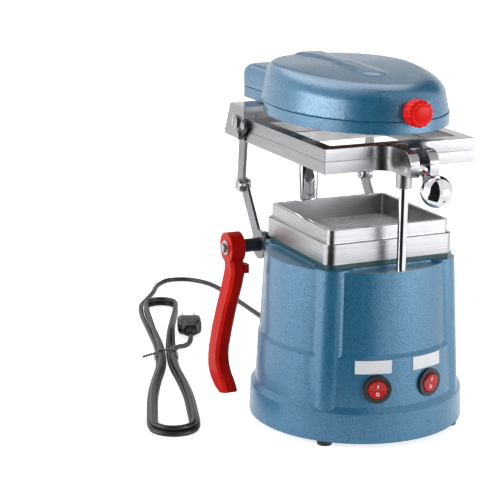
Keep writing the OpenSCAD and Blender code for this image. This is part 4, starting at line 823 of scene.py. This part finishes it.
def makePlate():
    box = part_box("perforated_plate")
    low, high = box[0] / mm, box[1] / mm
    verts, faces = [], []
    half, middle = plate["pitch"] / 2, (plate["count"] - 1) / 2
    square = [(half, 0), (half, half), (0, half), (-half, half), (-half, 0), (-half, -half), (0, -half),
              (half, -half)]
    for i in range(plate["count"]):
        for j in range(plate["count"]):
            cx, cy = (i - middle) * plate["pitch"], plate["y"] + (j - middle) * plate["pitch"]
            base = len(verts)
            for k in range(8):
                a = math.pi * k / 4
                for z in (low.z, high.z):
                    verts.append((cx + plate["hole"] * math.cos(a), cy + plate["hole"] * math.sin(a), z))
                for z in (low.z, high.z):
                    verts.append((cx + square[k][0], cy + square[k][1], z))
            for k in range(8):
                a, b = base + 4 * k, base + 4 * ((k + 1) % 8)
                faces += [(a, b, b + 1, a + 1), (a + 1, b + 1, b + 3, a + 3), (a, a + 2, b + 2, b)]
    # plain border round the drilled field
    e = plate["count"] / 2 * plate["pitch"]
    inner = [(-e, -e), (e, -e), (e, e), (-e, e)]
    front, rear = low.y - plate["y"], high.y - plate["y"]
    outer = [(low.x, front), (high.x, front), (high.x, rear), (low.x, rear)]
    base = len(verts)
    for ring in (inner, outer):
        for x, y in ring:
            for z in (low.z, high.z):
                verts.append((x, y + plate["y"], z))
    for k in range(4):
        a, b = base + 2 * k, base + 2 * ((k + 1) % 4)
        c, d = a + 8, b + 8
        faces += [(a + 1, b + 1, d + 1, c + 1), (a, c, d, b), (c, c + 1, d + 1, d)]
    mesh = meshFrom("drilledPlate", [toWorld(v) for v in verts], faces, False)
    bm = bmesh.new()
    bm.from_mesh(mesh)
    bmesh.ops.remove_doubles(bm, verts=bm.verts, dist=0.01 * mm)
    bm.to_mesh(mesh)
    bm.free()
    o = newObject("drilledPlate", mesh, "base")
    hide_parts("perforated_plate")
    return o


drilledPlate = makePlate()
# aluminium sheet, drilled and tumbled: pale, with a dull even grain that mirrors nothing
paint(drilledPlate, brushedAluminium("drilledAluminium", "#f0f1f2", "#e2e4e6", 0.42, 0.42, 0.25))
print("small pieces made")

# floor: white paper, which the camera sees as white and mirrors see greyer, with the object's shadow kept
paperLook = {"floor": "#f2f2f2", "shade": "#f0f0f0", "size": 8.0, "glow": 0.72, "mirrored": 0.5}


def lookedAt(tree):
    # two switches: 1 where the camera looks, straight or through something clear, and 1 where a mirror looks
    path = addNode(tree, "ShaderNodeLightPath").outputs
    seen = addNode(tree, "ShaderNodeMath", {"operation": "MAXIMUM"},
                   {0: path["Is Camera Ray"], 1: path["Is Transmission Ray"]})
    return seen.outputs[0], path["Is Glossy Ray"]


def makePaper():
    m, tree, shader, where = newMaterial("whitePaper")
    grain = noise(tree, where, 3, 2.0)
    shade(tree, shader, "Base Color", grain, (0.3, paperLook["shade"]), (0.7, paperLook["floor"]))
    setShader(shader, Roughness=0.9, Specular_IOR_Level=0.1)
    # white only where it is looked at, so that it adds no light to the object
    seen, mirror = lookedAt(tree)
    mirrored = addNode(tree, "ShaderNodeMath", {"operation": "MULTIPLY", 1: paperLook["mirrored"]}, {0: mirror})
    level = addNode(tree, "ShaderNodeMath", {"operation": "MULTIPLY_ADD", 1: paperLook["glow"]},
                    {0: seen, 2: mirrored.outputs[0]})
    tree.links.new(level.outputs[0], shader.inputs["Emission Strength"])
    setShader(shader, Emission_Color=(1, 1, 1, 1))
    bpy.ops.mesh.primitive_plane_add(size=paperLook["size"])
    floor = bpy.context.object
    floor.name = "paperFloor"
    floor.data.materials.append(m)


makePaper()

# dark cloth at the front left and over the object, which only mirrors see: it draws the dark streak down rods
# and the deep zone of the glossy paint, as the unlit room behind a camera does
curtain = {"from": -76.0, "to": -6.0, "columns": 8, "tone": "#15171a", "pale": "#1b1d20",
           "rows": ((0.22, 0.004), (1.9, 0.01), (1.95, 1.3), (1.4, 2.0), (0.3, 2.3), (-0.7, 2.2), (-1.7, 1.7),
                    (-2.1, 0.8))}


def makeCurtain():
    verts, faces, n = [], [], curtain["columns"]
    # rows of points, each at its reach from the axis and its height
    for reach, height in curtain["rows"]:
        for k in range(n + 1):
            a = math.radians(curtain["from"] + (curtain["to"] - curtain["from"]) * k / n)
            verts.append((reach * math.sin(a), -reach * math.cos(a), height))
    for row in range(len(curtain["rows"]) - 1):
        for k in range(n):
            q = row * (n + 1) + k
            faces.append((q, q + 1, q + n + 2, q + n + 1))
    o = bpy.data.objects.new("darkCurtain", meshFrom("darkCurtain", verts, faces, False))
    bpy.context.collection.objects.link(o)
    o.visible_camera = o.visible_diffuse = o.visible_shadow = o.visible_transmission = False
    paint(o, coatedSurface("blackCloth", curtain["tone"], curtain["pale"], 0.9, 0.95, 2.0, 0.1, 0.0, 0.1))


makeCurtain()

# lamps: a soft box at the left and a little behind, a second at the front right, one high at the back
# each: place, width and height in metres, power in watts
lamps = {"left": ((-1.8, 0.3, 0.52), 1.7, 0.9, 24.0), "right": ((1.25, -1.45, 0.34), 1.5, 0.55, 22.0),
         "over": ((0.2, 1.1, 1.6), 1.7, 1.2, 13.0)}
lampTarget = (0, 0, 0.15)


def makeLamps():
    for name, (place, width, height, power) in lamps.items():
        data = bpy.data.lights.new(name + "Lamp", "AREA")
        data.shape, data.size, data.size_y, data.energy = "RECTANGLE", width, height, power
        o = bpy.data.objects.new(name + "Lamp", data)
        bpy.context.collection.objects.link(o)
        o.location = place
        o.rotation_mode = "QUATERNION"
        o.rotation_quaternion = (Vector(lampTarget) - Vector(place)).to_track_quat("-Z", "Y")


# the room: a weak even fill on the object, plain white where the camera or a mirror looks at it
worldLook = {"fill": 0.4}


def makeWorld():
    world = bpy.data.worlds.new("studio")
    bpy.context.scene.world = world
    world.use_nodes = True
    tree = world.node_tree
    tree.nodes.clear()
    seen, mirror = lookedAt(tree)
    either = addNode(tree, "ShaderNodeMath", {"operation": "MAXIMUM"}, {0: seen, 1: mirror})
    strength = addNode(tree, "ShaderNodeMapRange", {"To Min": worldLook["fill"], "To Max": 1.0},
                       {"Value": either.outputs[0]})
    back = addNode(tree, "ShaderNodeBackground", {"Color": (1, 1, 1, 1)}, {"Strength": strength.outputs[0]})
    addNode(tree, "ShaderNodeOutputWorld", links={"Surface": back.outputs[0]})


makeLamps()
makeWorld()
print("stage and lamps made")
